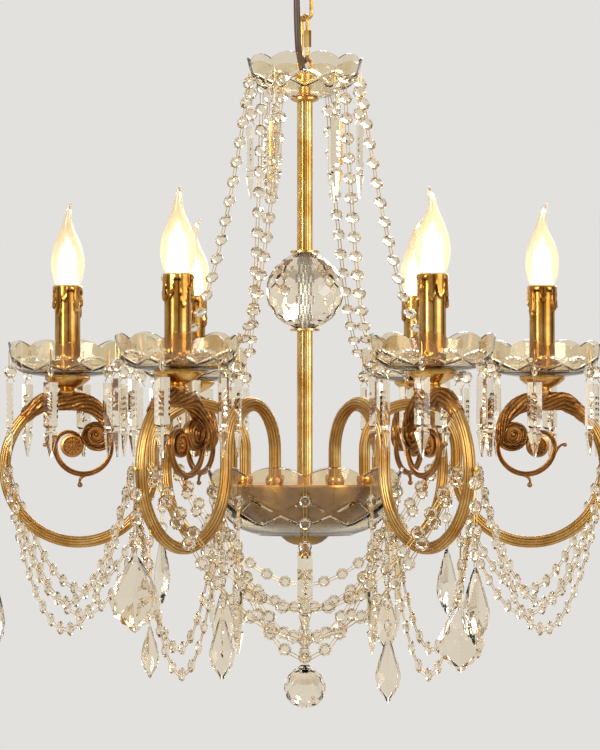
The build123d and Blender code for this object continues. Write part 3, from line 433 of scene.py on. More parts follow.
def arm_tube():
    """Reeded arm: up from the hub, over its arch and round its loop."""
    shape = bmesh.new()
    rise = pulled(shape, reeded_ring(shape), ARCH_Z - HUB_Z + ROOT_DEPTH)
    turn = {"cent": (ARM_ROOT_R + ARCH_R, 0, ARCH_Z), "axis": (0, 1, 0), "angle": pi, "steps": 22}
    arch = bmesh.ops.spin(shape, geom=rise, **turn)["geom_last"]
    fall = pulled(shape, edges_in(arch), LOOP_Z - ARCH_Z)
    turn = {"cent": (LOOP_X, 0, LOOP_Z), "axis": (0, -1, 0), "angle": radians(180 + LOOP_END)}
    bmesh.ops.spin(shape, geom=fall, steps=44, **turn)
    bmesh.ops.holes_fill(shape, edges=shape.edges)
    bmesh.ops.remove_doubles(shape, verts=shape.verts, dist=0.001)
    return outward(shape)


def hook_stud():
    """Stud at the outermost point of an arm, with a small head, that its pendant hangs on."""
    profile = [(0, 0), (1.5, 0), (1.5, 11.2), (2.3, 11.6), (2.3, 12.3), (1.4, 12.5), (0, 12.5)]
    return moved(spun(profile, 12), at(LOOP_X + LOOP_R, 0, LOOP_Z) @ turned(90, "Y"))


def stem_tube(low, high):
    """Stem tube with broad soft flutes and a plain bore."""
    shape = spun([(BORE_R, low), (STEM_R, low), (STEM_R, high), (BORE_R, high)], STEM_FLUTES * 6)
    for vert in shape.verts:
        radius = hypot(vert.co.x, vert.co.y)
        if radius > BORE_R + 1:
            hollow = FLUTE_DEPTH * (1 - cos(STEM_FLUTES * atan2(vert.co.y, vert.co.x))) / 2
            squeezed(vert, 1 - hollow / radius)
    return shape


for name, low, high in (("stem_upper", -356.0, -203.0), ("stem_lower", HUB_Z, -438.0)):
    finish(f"fluted_{name}", stem_tube(low, high), POLISHED, name)

tube, stud = arm_tube(), hook_stud()
for i in range(ARMS):
    whole = joined([(part, turned(360 * i / ARMS)) for part in (tube, stud)])
    finish(f"reeded_arm_{i + 1}", whole, GROOVED, f"arm_{i + 1}")
tube.free()
stud.free()


# ---- castings on the arms
class Oval:
    """Ring of a cast branch: an oval whose surface ripples with the veins of a leaf."""

    def __init__(self, count):
        self.count = count

    def __call__(self, i, thick, wide, veins, phase, depth):
        turn = tau * i / self.count
        ripple = 1 + depth * sin(veins * turn + phase) / max(thick, wide)
        return Vector((thick * cos(turn) * ripple, wide * sin(turn) * ripple, 0))


def along_path(points):
    """Stations' matrices for a path in the XZ plane."""
    path = [Vector((x, 0, z)) for x, z in points]
    places = []
    for i, point in enumerate(path):
        before, after = path[max(i - 1, 0)], path[min(i + 1, len(path) - 1)]
        places.append(upright(point, after - before))
    return places


def arc(centre, radius, start, end, steps):
    """Points of an arc, angles in degrees from +X towards +Z."""
    angles = [radians(start + (end - start) * i / steps) for i in range(steps + 1)]
    return [(centre[0] + radius * cos(a), centre[1] + radius * sin(a)) for a in angles]


# Places of the casting, as (in from the candle's axis, down from the drip cup's seat).
LEAF_LINE = [(-30.5, 13.5), (-26, 10.7), (-21.3, 8.6), (-14, 8.4), (-6, 8.6), (0, 8.8), (6, 8.8)]
LEAF_LINE += [(12, 8.8), (18, 10.2), (24, 12.8), (29.5, 16.4), (34, 20.8), (37.8, 25.8)]
LEAF_LINE += [(40.6, 31), (42.4, 36), (43.2, 41)]
VOLUTE, VOLUTE_R, VOLUTE_CORE_R = (29.8, 42.5), 13.4, 1.6
VOLUTE_TURNS, VOLUTE_STEPS = 1.9, 44
RING, RING_R = (16.5, 54.0), 29.0
INNER_RING, INNER_RING_R = (1.7, 54.0), 14.2
ROSETTE, PETALS = (4.9, 54.0), 12
SPRIG_TIP, TAIL_TIP, TAIL_BALL_R = (-23.0, 52.0), (13.0, 94.0), 2.7
LEAF_TIPS, LEAF_FOOT = 7, 48  # how many, and their angle on the tube's loop


def spot(inward, down):
    """Point of the casting's plane from its place under the candle."""
    return (CANDLE_R - inward, SEAT_Z - down)


def softened(path, k, t):
    """Point at part t of the way from corner k to the next, on a smooth line through all corners."""
    before, one, two = path[max(k - 1, 0)], path[k], path[k + 1]
    after = path[min(k + 2, len(path) - 1)]
    a = 2 * t**3 - 3 * t**2 + 1
    bend = (two - before) / 2 * (t**3 - 2 * t**2 + t) + (after - one) / 2 * (t**3 - t**2)
    return one * a + two * (1 - a) + bend


def resampled(points, pitch):
    """The same line through points at an even pitch, rounded between them."""
    path = [Vector(point) for point in points]
    fine = []
    for k in range(len(path) - 1):
        steps = max(1, round((path[k + 1] - path[k]).length / pitch))
        fine += [softened(path, k, i / steps) for i in range(steps)]
    return [tuple(point) for point in fine + [path[-1]]]


def leaf_branch():
    """Leaf that grows out of the tube's end, turns down like a claw and rolls into a volute."""
    points = arc((LOOP_X, LOOP_Z), LOOP_R, 46, 50, 1) + [spot(*place) for place in LEAF_LINE]
    points = resampled(points, 1.6)
    grown_at, claw_at = 10, len(points) - 1
    centre = spot(*VOLUTE)
    for i in range(1, VOLUTE_STEPS + 1):
        share = i / VOLUTE_STEPS
        angle = radians(180 + 360 * VOLUTE_TURNS * share)
        radius = VOLUTE_R * (1 - share) ** 0.8 + VOLUTE_CORE_R
        points.append((centre[0] + radius * cos(angle), centre[1] + radius * sin(angle)))
    stations = []
    for i, place in enumerate(along_path(points)):
        grown = min(1, i / grown_at)
        left = max(0, (claw_at - i) / 24)
        rolled = max(0, (i - claw_at) / VOLUTE_STEPS)
        thick = (6.6 + 2.1 * grown) * (0.5 + 0.5 * min(1, left)) * (1 - 0.72 * rolled**0.6)
        wide = 6.7 + 1.3 * grown - 1.6 * (1 - min(1, left)) * grown - 1.0 * rolled
        twist = 0.7 * i + 1.2 * sin(i * 0.32)
        stations.append((place, thick, wide, 11, twist, 0.95 * grown * (1 - rolled)))
    shape = bmesh.new()
    loft(shape, stations, Oval(44))
    stand = at(centre[0], 0, centre[1])
    disc = spun([(0, -3.2), (11.5, -2.2), (11.5, 2.2), (0, 3.2)], 28)
    shape = joined([(shape, Matrix()), (disc, stand @ turned(90, "X"))])
    knob(shape, 14, 8, stand @ Matrix.Diagonal((2.9, 6.4, 2.9, 1)))
    return shape


def leaf_tips():
    """Pointed tips of the leaf that lie round the tube where it leaves the casting."""
    shape = bmesh.new()
    angle = radians(LEAF_FOOT)
    foot = (LOOP_X + LOOP_R * cos(angle), 0, LOOP_Z + LOOP_R * sin(angle))
    place = upright(Vector(foot), Vector((sin(angle), 0, -cos(angle))))
    for i in range(LEAF_TIPS):
        turn = Matrix.Rotation(tau * i / LEAF_TIPS + 0.3, 4, "Z")
        lie = at(6.3, 0, 0) @ Matrix.Diagonal((1.5, 2.9, 9.0 - 2.5 * (i % 2), 1))
        knob(shape, 8, 6, place @ turn @ lie)
    return shape


def bezier(start, pull, hold, end, steps):
    """Points of a cubic curve in the casting's plane."""
    one, two, three, four = (Vector(p) for p in (start, pull, hold, end))
    points = []
    for i in range(steps + 1):
        t = i / steps
        s = 1 - t
        points.append(one * s**3 + two * 3 * s * s * t + three * 3 * s * t * t + four * t**3)
    return [tuple(p) for p in points]


def scroll_rod():
    """Thin ridged scroll: from the volute round a wide ring and in round the rosette, with two tips."""
    ring_c, inner_c = spot(*RING), spot(*INNER_RING)
    points = [(ring_c[0] - RING_R, SEAT_Z - VOLUTE[1] + above) for above in (3, -5)]
    points += arc(ring_c, RING_R, 180, 356, 40) + arc(inner_c, INNER_RING_R, 4, 165, 18)
    last = len(points) - 1
    stations = []
    for i, place in enumerate(along_path(points)):
        size = 1.7 + 1.1 * sin(pi * min(1, i / last * 1.1)) ** 0.7
        stations.append((place, size, size * 1.25, 6, -pi / 2, 0.42))
    shape = bmesh.new()
    loft(shape, stations, Oval(24))
    sprig_end, tail_end = spot(*SPRIG_TIP), spot(*TAIL_TIP)
    # Each tip: the side and angle where it leaves the ring, its end and its two pulls.
    for side, angle, end, pull, hold in (
        (1, radians(35), sprig_end, (7, 9), (-9, -2)),
        (-1, radians(72), tail_end, (9, -3), (2, 8)),
    ):
        root = (ring_c[0] + side * RING_R * cos(angle), ring_c[1] - RING_R * sin(angle))
        pull, hold = (root[0] + pull[0], root[1] + pull[1]), (end[0] + hold[0], end[1] + hold[1])
        stations = []
        for i, place in enumerate(along_path(bezier(root, pull, hold, end, 12))):
            size = 2.0 - 0.9 * i / 12
            stations.append((place, size, size * 1.25, 2, 0, 0.1))
        loft(shape, stations, Oval(12))
    knob(shape, 14, 8, at(tail_end[0], 0, tail_end[1]), TAIL_BALL_R)
    knob(shape, 12, 8, at(sprig_end[0], 0, sprig_end[1] - 1), 2.2)
    return shape


def rosette():
    """Round flower of twelve petals in a raised rim, the same on both faces."""
    rim = [(9.0, -3.4), (11.2, -2.8), (12.0, 0), (11.2, 2.8), (9.0, 3.4), (8.4, 2.0), (8.4, -2.0)]
    plate = [(0, -0.9), (9.2, -0.9), (9.2, 0.9), (0, 0.9)]
    shape = joined([(spun(rim, 36), Matrix()), (spun(plate, 24), Matrix())])
    for i in range(PETALS):
        petal = at(5.5, 0, 0) @ Matrix.Diagonal((2.9, 1.0, 2.8, 1))
        knob(shape, 10, 6, turned(360 * i / PETALS) @ petal)
    knob(shape, 12, 8, Matrix.Diagonal((2.2, 2.2, 3.6, 1)))
    centre = spot(*ROSETTE)
    return moved(shape, at(centre[0], 0, centre[1]) @ turned(90, "X"))


def seat_boss():
    """Round boss under the drip cup."""
    low, top = SEAT_Z - 9, SEAT_Z
    profile = [(0, low), (6.5, low), (8.0, low + 2), (7.2, top - 3.5), (8.0, top - 2.4), (8.0, top)]
    return moved(spun(profile + [(4.9, top), (4.9, top - 6.2), (0, top - 6.2)], 28), at(CANDLE_R, 0, 0))


cast_parts = (leaf_branch, leaf_tips, scroll_rod, rosette, seat_boss)
casting = joined([(make(), Matrix()) for make in cast_parts])
finish("cast_scrolls", about_stem(casting), PATINA, "arm_scrolls", edge_angle=50)


# ---- crystal dishes
def rim_drop(turn, rim_r, depth):
    """How far the rim lies below its peaks at an angle; peaks at 0, cusps half a scallop on."""
    half = radians(180 / SCALLOPS)
    away = rim_r * sin((turn + half) % (2 * half) - half)
    chord = rim_r * sin(half)
    arch = (chord**2 + depth**2) / (2 * depth)
    return arch - sqrt(arch**2 - away**2)


def cut_depth(turn, share):
    """Long lens cuts that cross low on the dish, one pair to a scallop; share is the height's part."""
    half = radians(180 / SCALLOPS)
    local = ((turn + half) % (2 * half) - half) / half
    deep = 0.0
    for lean in (-1, 1):
        along = lean * local + (share - 0.36) / 0.2
        off = abs(lean * local - (share - 0.36) / 0.2) / 2
        width = 0.14 * sqrt(max(0.0, 1 - (along / 2.0) ** 2))
        if width and off < width:
            deep = max(deep, sqrt(1 - (off / width) ** 2))
    return deep


def crystal_dish(outline, wall, bore, depth, base, steps, rows, cut):
    """Pressed dish with a scalloped rim and cut grooves on its outside."""

    corners = [Vector(point) for point in outline]

    def outside(share):
        """Point of the outer wall, softened between the outline's corners."""
        reach = share * (len(corners) - 1)
        k = min(int(reach), len(corners) - 2)
        return softened(corners, k, reach - k)

    outer = [outside(i / rows) for i in range(rows + 1)]
    inner_rows = rows // 2
    inner = []
    for i in range(inner_rows + 1):
        share = 1 - i / inner_rows
        here, nearby = outside(share), outside(max(share - 0.02, 0))
        way = (here - nearby).normalized() if share > 0.02 else Vector((1, 0))
        thick = wall * (1 - 0.45 * share)
        inner.append(here + Vector((-way.y, way.x)) * thick)
    floor = inner[-1].y
    profile = [(bore, 0)] + [(r, h) for r, h in outer] + [(r, h) for r, h in inner] + [(bore, floor)]
    shape = spun(profile, steps)
    top = outline[-1][1]
    for vert in shape.verts:
        radius = hypot(vert.co.x, vert.co.y)
        turn = atan2(vert.co.y, vert.co.x)
        share = vert.co.z / top
        fade = max(0.0, (share - 0.45) / 0.55)
        on_outside = vert.normal.x * vert.co.x + vert.normal.y * vert.co.y > 0
        drop = rim_drop(turn, outline[-1][0], depth) * min(fade, 1.0)
        wave = 1.1 * (1 - drop / depth) * fade if fade else 0
        sink = cut * cut_depth(turn, share) if on_outside and 0.04 < share < 0.9 else 0
        vert.co.z -= drop
        squeezed(vert, (radius + wave - 0.8 * fade - sink) / radius)
    return outward(moved(shape, at(0, 0, base)))


TOP_OUTLINE = [(24.0, 0.0), (43.0, 8.0), (54.0, 20.0), (59.5, 39.5)]
BOBECHE_OUTLINE = [(24.0, 0.0), (45.0, 4.0), (56.0, 14.0), (60.5, 36.0)]
BOWL_OUTLINE = [(48.0, 0.0), (75.0, 12.0), (90.0, 38.0), (101.0, 69.0)]

# Each dish: outline, wall, bore, scallops' depth, base, steps round, rows up, depth of the cuts.
dish = crystal_dish(TOP_OUTLINE, 3.5, 5.2, 6.5, DISH_Z, 300, 40, 1.5)
finish("top_crystal_dish", dish, CUT_GLASS, "top_dish")
dish = crystal_dish(BOWL_OUTLINE, 4.0, 5.2, 9.0, BOWL_Z, 420, 60, 2.2)
finish("crystal_bowl", dish, CUT_GLASS, "glass_bowl")
saucer = crystal_dish(BOBECHE_OUTLINE, 3.5, 5.1, 6.5, BOBECHE_Z, 300, 40, 1.5)
for i in range(ARMS):
    piece = joined([(saucer, turned(360 * i / ARMS) @ at(CANDLE_R, 0, 0))])
    finish(f"crystal_bobeche_{i + 1}", piece, CUT_GLASS, f"bobeche_{i + 1}")
saucer.free()


BOTTOM_CUP = [(5.2, -10), (6.6, -10), (12.0, -9.2), (17.6, -6.8), (21.8, -3.6), (24.3, -1.2), (24.5, 0)]
cup = spun([(r, BOWL_Z + h) for r, h in BOTTOM_CUP + [(5.2, 0)]], 48)
finish("round_bottom_cup", cup, SATIN, "bottom_cup")


# ---- candles
def drip_saucer():
    """Turned brass cup with a waisted neck and a wide saucer under the crystal dish."""
    profile = [(5, 0), (8.6, 0), (9.0, 0.8), (9.0, 2.0), (8.0, 2.8), (7.6, 3.6), (8.2, 4.4), (9.4, 4.9)]
    profile += [(12.8, 6.4), (17.6, 9.2), (21.4, 12.2), (23.2, 13.9), (23.5, 15.5), (22.9, 16.2), (5, 16.2)]
    return moved(spun(profile, 48), at(CANDLE_R, 0, SEAT_Z))


finish("drip_saucers", about_stem(drip_saucer()), POLISHED, "drip_cups")

DRIPS = (24, 33, 17, 28, 22, 34, 18, 27)  # how far below the top each one ends
DRIP_COLLAR, DRIP_SWELL = 6.0, 2.3
SLEEVE_R, SLEEVE_BORE_R, SLEEVE_H, SLEEVE_ROWS = 13.0, 11.8, 90.0, 64


def drip_end(turn):
    """How far below the top the wax drips reach at an angle."""
    reach = DRIP_COLLAR
    for i, length in enumerate(DRIPS):
        away = (turn - tau * i / len(DRIPS) - 0.2 * sin(i * 2.1) + pi) % tau - pi
        width = 0.25 + 0.04 * cos(i * 1.7)
        if abs(away) < width:
            reach = max(reach, DRIP_COLLAR + (length - DRIP_COLLAR) * (1 - (away / width) ** 2) ** 0.3)
    return reach


def candle_sleeve():
    """Brass candle sleeve, its top edge cast as running wax drips."""
    levels = [CANDLE_Z + SLEEVE_H * (i / SLEEVE_ROWS) ** 0.8 for i in range(SLEEVE_ROWS + 1)]
    bore = [(12.2, CANDLE_TOP_Z), (SLEEVE_BORE_R, CANDLE_TOP_Z - 1), (SLEEVE_BORE_R, CANDLE_Z)]
    shape = spun([(SLEEVE_R, level) for level in levels] + bore, 112)
    for vert in shape.verts:
        radius = hypot(vert.co.x, vert.co.y)
        if radius < SLEEVE_R - 0.1:
            continue
        below = CANDLE_TOP_Z - vert.co.z
        inside = drip_end(atan2(vert.co.y, vert.co.x)) - below
        if inside > 0:
            swell = DRIP_SWELL * min(1, inside / 1.5) ** 0.5 * (0.6 if below < 0.5 else 1)
            swell += 0.6 * exp(-((inside - 2.5) ** 2) / 4)
            squeezed(vert, (radius + swell) / radius)
    return moved(shape, at(CANDLE_R, 0, 0))


finish("candle_tubes", about_stem(candle_sleeve()), DRIPPED, "candle_sleeves")


def flame_glass(bend):
    """Hollow flame-shaped glass whose tip bends towards +X."""
    outline = [(9.6, -1), (11.6, 0.3), (13.3, 4), (15.2, 9), (16.7, 16), (17.3, 23), (16.9, 30), (15.4, 37)]
    outline += [(12.9, 44), (9.9, 51), (7.1, 57), (5.1, 63), (3.9, 69), (3.1, 75), (2.5, 80), (1.6, 83.6)]
    outline += [(0, BULB_H)]
    wall = 0.7
    inside = [(max(r - wall, 0), h - wall * (h > 80)) for r, h in outline if h < 80 or r == 0]
    shape = spun(outline + inside[::-1], 48)
    for vert in shape.verts:
        lean = max(0.0, (vert.co.z - 42) / 42)
        vert.co.x += bend * (2 * lean**3 - lean**1.5)
    return shape


def filaments():
    """Bundle of lit filament sticks, the middle ones taller."""
    shape = bmesh.new()
    for count, out, low, high in ((7, 7.4, 3, 34), (4, 2.8, 3, 45)):
        for i in range(count):
            tall = high + 5 * sin(i * 2.4)
            turn = Matrix.Rotation(tau * i / count + 0.5, 4, "Z")
            lean = turn @ at(out, 0, (low + tall) / 2) @ turned(-4, "Y")
            size = {"segments": 10, "radius1": 2.6, "radius2": 1.2, "depth": tall - low}
            bmesh.ops.create_cone(shape, cap_ends=True, matrix=lean, **size)
    return shape


def screw_cap():
    """Threaded cap of the lamp, down in the lampholder."""
    profile = [(0, -25), (2.5, -25), (4.5, -23)]
    for i in range(5):
        height = -21.5 + 3.6 * i
        profile += [(6.3, height), (6.8, height + 0.9), (6.8, height + 1.8), (6.3, height + 2.7)]
    return spun(profile + [(6.6, -3), (6.6, -1), (0, -1)], 28)


TIP_BENDS = (5.0, 7.5, 7.5, 3.0, 2.0, -4.0)  # of each bulb, towards +X
sticks, cap = filaments(), screw_cap()
for i, bend in enumerate(TIP_BENDS):
    angle = radians(360 * i / ARMS)
    place = at(CANDLE_R * cos(angle), CANDLE_R * sin(angle), CANDLE_TOP_Z)
    body = f"bulb_{i + 1}"
    finish(f"flame_glass_{i + 1}", moved(flame_glass(bend), place), BULB_GLASS, body, body=body)
    finish(f"filaments_{i + 1}", joined([(sticks, place)]), FILAMENT, body=body)
    finish(f"lamp_cap_{i + 1}", joined([(cap, place)]), POLISHED, body=body)


# ---- faceted balls
def honeycomb_ball(radius, half_height, sides, lifts):
    """Ball ground with planes in staggered rows, with a flat at the top and the bottom."""
    shape = bmesh.new()
    bmesh.ops.create_uvsphere(shape, u_segments=24, v_segments=16, radius=radius * 1.08)
    planes = [(0, 90), (0, -90)]
    for k, lift in enumerate(lifts):
        for i in range(sides):
            planes.append((360 * (i + (k % 2) / 2) / sides, lift))
    for turn, lift in planes:
        flat = cos(radians(lift))
        way = Vector((flat * cos(radians(turn)), flat * sin(radians(turn)), sin(radians(lift))))
        reach = half_height if abs(lift) == 90 else radius * 0.985
        geom = shape.verts[:] + shape.edges[:] + shape.faces[:]
        plane = {"plane_co": way * reach, "plane_no": way, "clear_outer": True}
        rim = edges_in(bmesh.ops.bisect_plane(shape, geom=geom, **plane)["geom_cut"])
        if rim:
            bmesh.ops.edgeloop_fill(shape, edges=rim)
    bmesh.ops.remove_doubles(shape, verts=shape.verts, dist=0.05)
    bmesh.ops.dissolve_limit(shape, angle_limit=radians(1.5), verts=shape.verts, edges=shape.edges)
    return outward(shape)


ball = honeycomb_ball(BALL_R, BALL_HALF_H, 18, (-60, -48, -32, -16, 0, 16, 32, 48, 60))
finish("faceted_stem_ball", moved(ball, at(0, 0, BALL_Z)), STONE, "crystal_ball")


# ---- strands of beads
def octagon_bead():
    """Octagonal bead, 14 mm across, with a table on both faces."""
    shape = bmesh.new()
    rings = []
    for height, radius in ((2.7, 3.3), (0.5, BEAD_R), (-0.5, BEAD_R), (-2.7, 3.3)):
        circle = {"segments": 8, "radius": radius, "matrix": at(0, 0, height)}
        rings.append(bmesh.ops.create_circle(shape, **circle)["verts"])
    return skinned(shape, rings)


WIRE_R = 0.42


def bow_pin(length, near, far):
    """Two thin wires side by side from Z = 0 up, with their spread at both ends."""
    shape = bmesh.new()
    for side in (-1, 1):
        foot, head = Vector((side * near, 0, 0)), Vector((side * far, 0, length))
        turn = (head - foot).to_track_quat("Z", "Y").to_matrix().to_4x4()
        place = Matrix.Translation((foot + head) / 2) @ turn
        size = {"segments": 5, "radius1": WIRE_R, "radius2": WIRE_R, "depth": length}
        bmesh.ops.create_cone(shape, cap_ends=True, matrix=place, **size)
    return shape


BEAD_CORNERS, PIN_CORNERS = 8, 6
BEAD_R, BEAD_REACH = 7.0, 9.0  # a pin's end within this reach of a bead's centre belongs to it
PIN_INTO_BEAD = 2.6
PIN_SPREAD, SLIM_SPREAD, SPEAR_SPREAD = 1.5, 0.7, 4.6


def sorted_solids(*nodes):
    """The solids of CAD nodes as beads, pins and larger stones, told by their numbers of corners."""
    found = {BEAD_CORNERS: [], PIN_CORNERS: []}
    stones = []
    for node in nodes:
        for group in islands(node):
            found.get(len(group), stones).append(group)
    return found[BEAD_CORNERS], found[PIN_CORNERS], stones


def pin_ends_of(group):
    """The two ends of a pin."""
    far = max(group, key=lambda p: (p - group[0]).length)
    near = sorted(group, key=lambda p: (p - group[0]).length)[:3]
    rest = sorted(group, key=lambda p: (p - far).length)[:3]
    return sum(near, Vector()) / 3, sum(rest, Vector()) / 3


def facing_matrix(centre, along, facing):
    """Matrix at a point: X along the strand, Z out of the bead's flat side."""
    return Matrix.Translation(centre) @ axes(along, facing.cross(along), facing)


def bead_place(group, pin_ends):
    """Matrix of a bead, its length turned to the pins that meet it."""
    centre = sum(group, Vector()) / len(group)
    tips = sorted(group, key=lambda p: (p - centre).length)[:2]
    facing = (tips[1] - tips[0]).normalized()
    corners = [p for p in group if p not in tips]
    ends = [end for pair in pin_ends for end in pair if (end - centre).length < BEAD_REACH]
    corner = corners[0]
    if ends:
        corner = min(corners, key=lambda p: min((p - end).length for end in ends))
    return facing_matrix(centre, (corner - centre).normalized(), facing)


def placed_pin(start, end, places, stone_tops, spread=PIN_SPREAD):
    """Double wire between two ends, flat with the bead it leaves, spread where it holds a spear."""
    if any((start - top).length < 1 for top in stone_tops):
        start, end = end, start
    way = (end - start).normalized()
    holds = any((end - top).length < 1 for top in stone_tops)
    gaps = [min((m.translation - p).length for m in places) for p in (start, end)]
    into = [PIN_INTO_BEAD * (gap < BEAD_REACH) for gap in gaps]
    length = (end - start).length + sum(into)
    near = min(places, key=lambda m: (m.translation - start).length)
    facing = near.to_3x3().col[2]
    across = way.cross(facing)
    across = across.normalized() if across.length > 0.1 else way.orthogonal()
    wires = bow_pin(length, 1.2, SPEAR_SPREAD) if holds else bow_pin(length, spread, spread)
    return wires, Matrix.Translation(start - way * into[0]) @ axes(across, way.cross(across), way)


def second_swag(start, end, sag, count):
    """The other strand of a double swag: matrices of its beads and the ends of its pins."""
    steps = 200
    chord = end - start
    line = []
    for k in range(steps + 1):
        u = k / steps
        line.append(start + chord * u - Vector((0, 0, 4 * sag * u * (1 - u))))
    reached = [0.0]
    for one, two in zip(line, line[1:]):
        reached.append(reached[-1] + (two - one).length)
    facing = Vector((chord.y, -chord.x, 0)).normalized()
    places, ends, before = [], [], start
    for i in range(count):
        target = reached[-1] * (i + 0.5) / count
        k = next(k for k in range(steps) if reached[k + 1] >= target)
        centre = line[k].lerp(line[k + 1], (target - reached[k]) / (reached[k + 1] - reached[k]))
        along = (line[min(k + 6, steps)] - line[max(k - 6, 0)]).normalized()
        places.append(facing_matrix(centre, along, facing))
        ends.append((before, centre - along * BEAD_R))
        before = centre + along * BEAD_R
    ends.append((before, end))
    return places, ends


def polar(angle, radius, height):
    """Point at an angle round the stem."""
    return Vector((radius * cos(radians(angle)), radius * sin(radians(angle)), height))


# ---- spears and leaf pendants
SPEAR_HALF, SPEAR_FRONT, SPEAR_BACK, RIDGE_HALF = 7.6, 4.6, 3.2, 2.7
NOTCHES, NOTCH_TOP, NOTCH_PITCH, NOTCH_FLOOR = 5, 10.5, 5.7, 1.6


class Blade:
    """Six-cornered ring of a spear: sharp sides, a shallow back, a ridge that notches can cut."""

    count = 6

    def __call__(self, i, half, front, back, ridge):
        share = RIDGE_HALF / SPEAR_HALF
        inner = (half * share, front * (1 - share))
        corners = ((0, ridge), (-inner[0], inner[1]), (-half, 0), (0, -back), (half, 0), inner)
        return Vector((*corners[i], 0))


def spear():
    """Spear prism: blunt top, a ridge with a row of notches, a waist and a point."""
    full = (SPEAR_HALF, SPEAR_FRONT, SPEAR_BACK, SPEAR_FRONT)
    rows = [(-0.2, *full)]
    for k in range(NOTCHES):
        height = -NOTCH_TOP - k * NOTCH_PITCH
        rows += [(height, *full), (height - NOTCH_PITCH / 2, *full[:3], NOTCH_FLOOR)]
    rows += [(-NOTCH_TOP - NOTCHES * NOTCH_PITCH, *full), (-44.0, *full), (-46.5, 5.0, 3.4, 2.4, 3.4)]
    rows += [(-49.0, 5.0, 3.4, 2.4, 3.4), (-51.5, *full), (-75.0, 1.3, 1.0, 0.8, 1.0)]
    shape = bmesh.new()
    stations = [(at(0, 0, height), *words) for height, *words in rows]
    loft(shape, stations, Blade())
    return shape


# Half outlines of a leaf pendant as parts of its width and height: its rim, and its large facets.
LEAF_RIM = [(0.03, 0.0), (0.16, 0.12), (0.22, 0.2), (0.33, 0.32), (0.41, 0.43), (0.48, 0.54), (0.50, 0.62)]
LEAF_RIM += [(0.43, 0.72), (0.41, 0.78), (0.29, 0.83), (0.25, 0.88), (0.13, 0.91), (0.09, 0.96)]
LEAF_TABLE = [(0.05, 0.09), (0.37, 0.52), (0.28, 0.75)]
LEAF_THICK = 9.0


def mirrored_loop(shape, half, foot, width, height, depth):
    """Closed loop of edges from a half outline and its foot on the middle line."""
    right = [(x * width, z * height) for x, z in half]
    left = [(-x, z) for x, z in reversed(right)]
    verts = [shape.verts.new((x, depth, -z)) for x, z in right + [(0, foot * height)] + left]
    return [shape.edges.new(pair) for pair in zip(verts, verts[1:] + verts[:1])]


def leaf_stone(width, height):
    """Flat pendant with a scalloped leaf outline and large facets that meet in front and behind."""
    shape = bmesh.new()
    rims = []
    for side in (1, -1):
        rim = mirrored_loop(shape, LEAF_RIM, 1.0, width, height, side * 0.7)
        table = mirrored_loop(shape, LEAF_TABLE, 0.92, width, height, side * LEAF_THICK * 0.3)
        bmesh.ops.bridge_loops(shape, edges=rim + table)
        face = bmesh.ops.edgeloop_fill(shape, edges=table)["faces"]
        middle = bmesh.ops.poke(shape, faces=face)["verts"][0]
        middle.co = (side * 0.04 * width, side * LEAF_THICK / 2, -0.56 * height)
        rims += rim
    bmesh.ops.bridge_loops(shape, edges=rims)
    return outward(shape)


def stone_place(group):
    """Matrix where a stone hangs from, its width along X, with its width and height."""
    top = max(group, key=lambda p: p.z)
    low = min(group, key=lambda p: p.z)
    one = max(group, key=lambda p: (p - top).xy.length)
    two = max(group, key=lambda p: (p - one).xy.length)
    across = Vector((*(one - two).xy, 0))
    width = across.length
    across.normalize()
    up = Vector((0, 0, 1))
    return Matrix.Translation(top) @ axes(across, up.cross(across), up), width, top.z - low.z


def spear_place(group):
    """Matrix where a spear hangs from, its notched ridge towards its front edge in the CAD."""
    high = max(p.z for p in group)
    top = [p for p in group if p.z > high - 0.5]
    middle = sum(top, Vector()) / 3
    sides = [(top[k - 1] - top[k - 2]).length for k in range(3)]
    ridge = top[sides.index(max(sides))]
    front = Vector((*(ridge - middle).xy, 0)).normalized()
    up = Vector((0, 0, 1))
    return Matrix.Translation(middle) @ axes(front.cross(up), front, up)


BEAD, SPEAR = octagon_bead(), spear()


def dressing(name, body, node, extra=(), slim=1.0):
    """Beads and stones of a CAD node as one piece, and the wires that join them as another."""
    bead_groups, pin_groups, stone_groups = sorted_solids(node)
    ends = [pin_ends_of(group) for group in pin_groups]
    places = [bead_place(group, ends) for group in bead_groups]
    stones = list(extra)
    for group in [] if extra else stone_groups:
        place, width, height = stone_place(group)
        stones.append((leaf_stone(width * slim, height), place))
    pieces = [(BEAD, place @ Matrix.Scale(slim, 4)) for place in places] + stones
    finish(f"{name}_crystals", joined(pieces), STONE, node, body=body)
    if ends:
        spread = PIN_SPREAD if slim == 1 else SLIM_SPREAD
        wires = [placed_pin(*pair, places, [], spread) for pair in ends]
        finish(f"{name}_wires", joined(wires), WIRE, body=body)


for k in range(8):
    slim = 0.9 if k > 5 else 1.0  # these two swing close to their arms
    dressing(f"leaf_pendant_{k + 1}", f"pendant_{k + 1}", f"pendant_{k + 1}", slim=slim)
dressing("bowl_pendant", "fixture", "bowl_pendants")

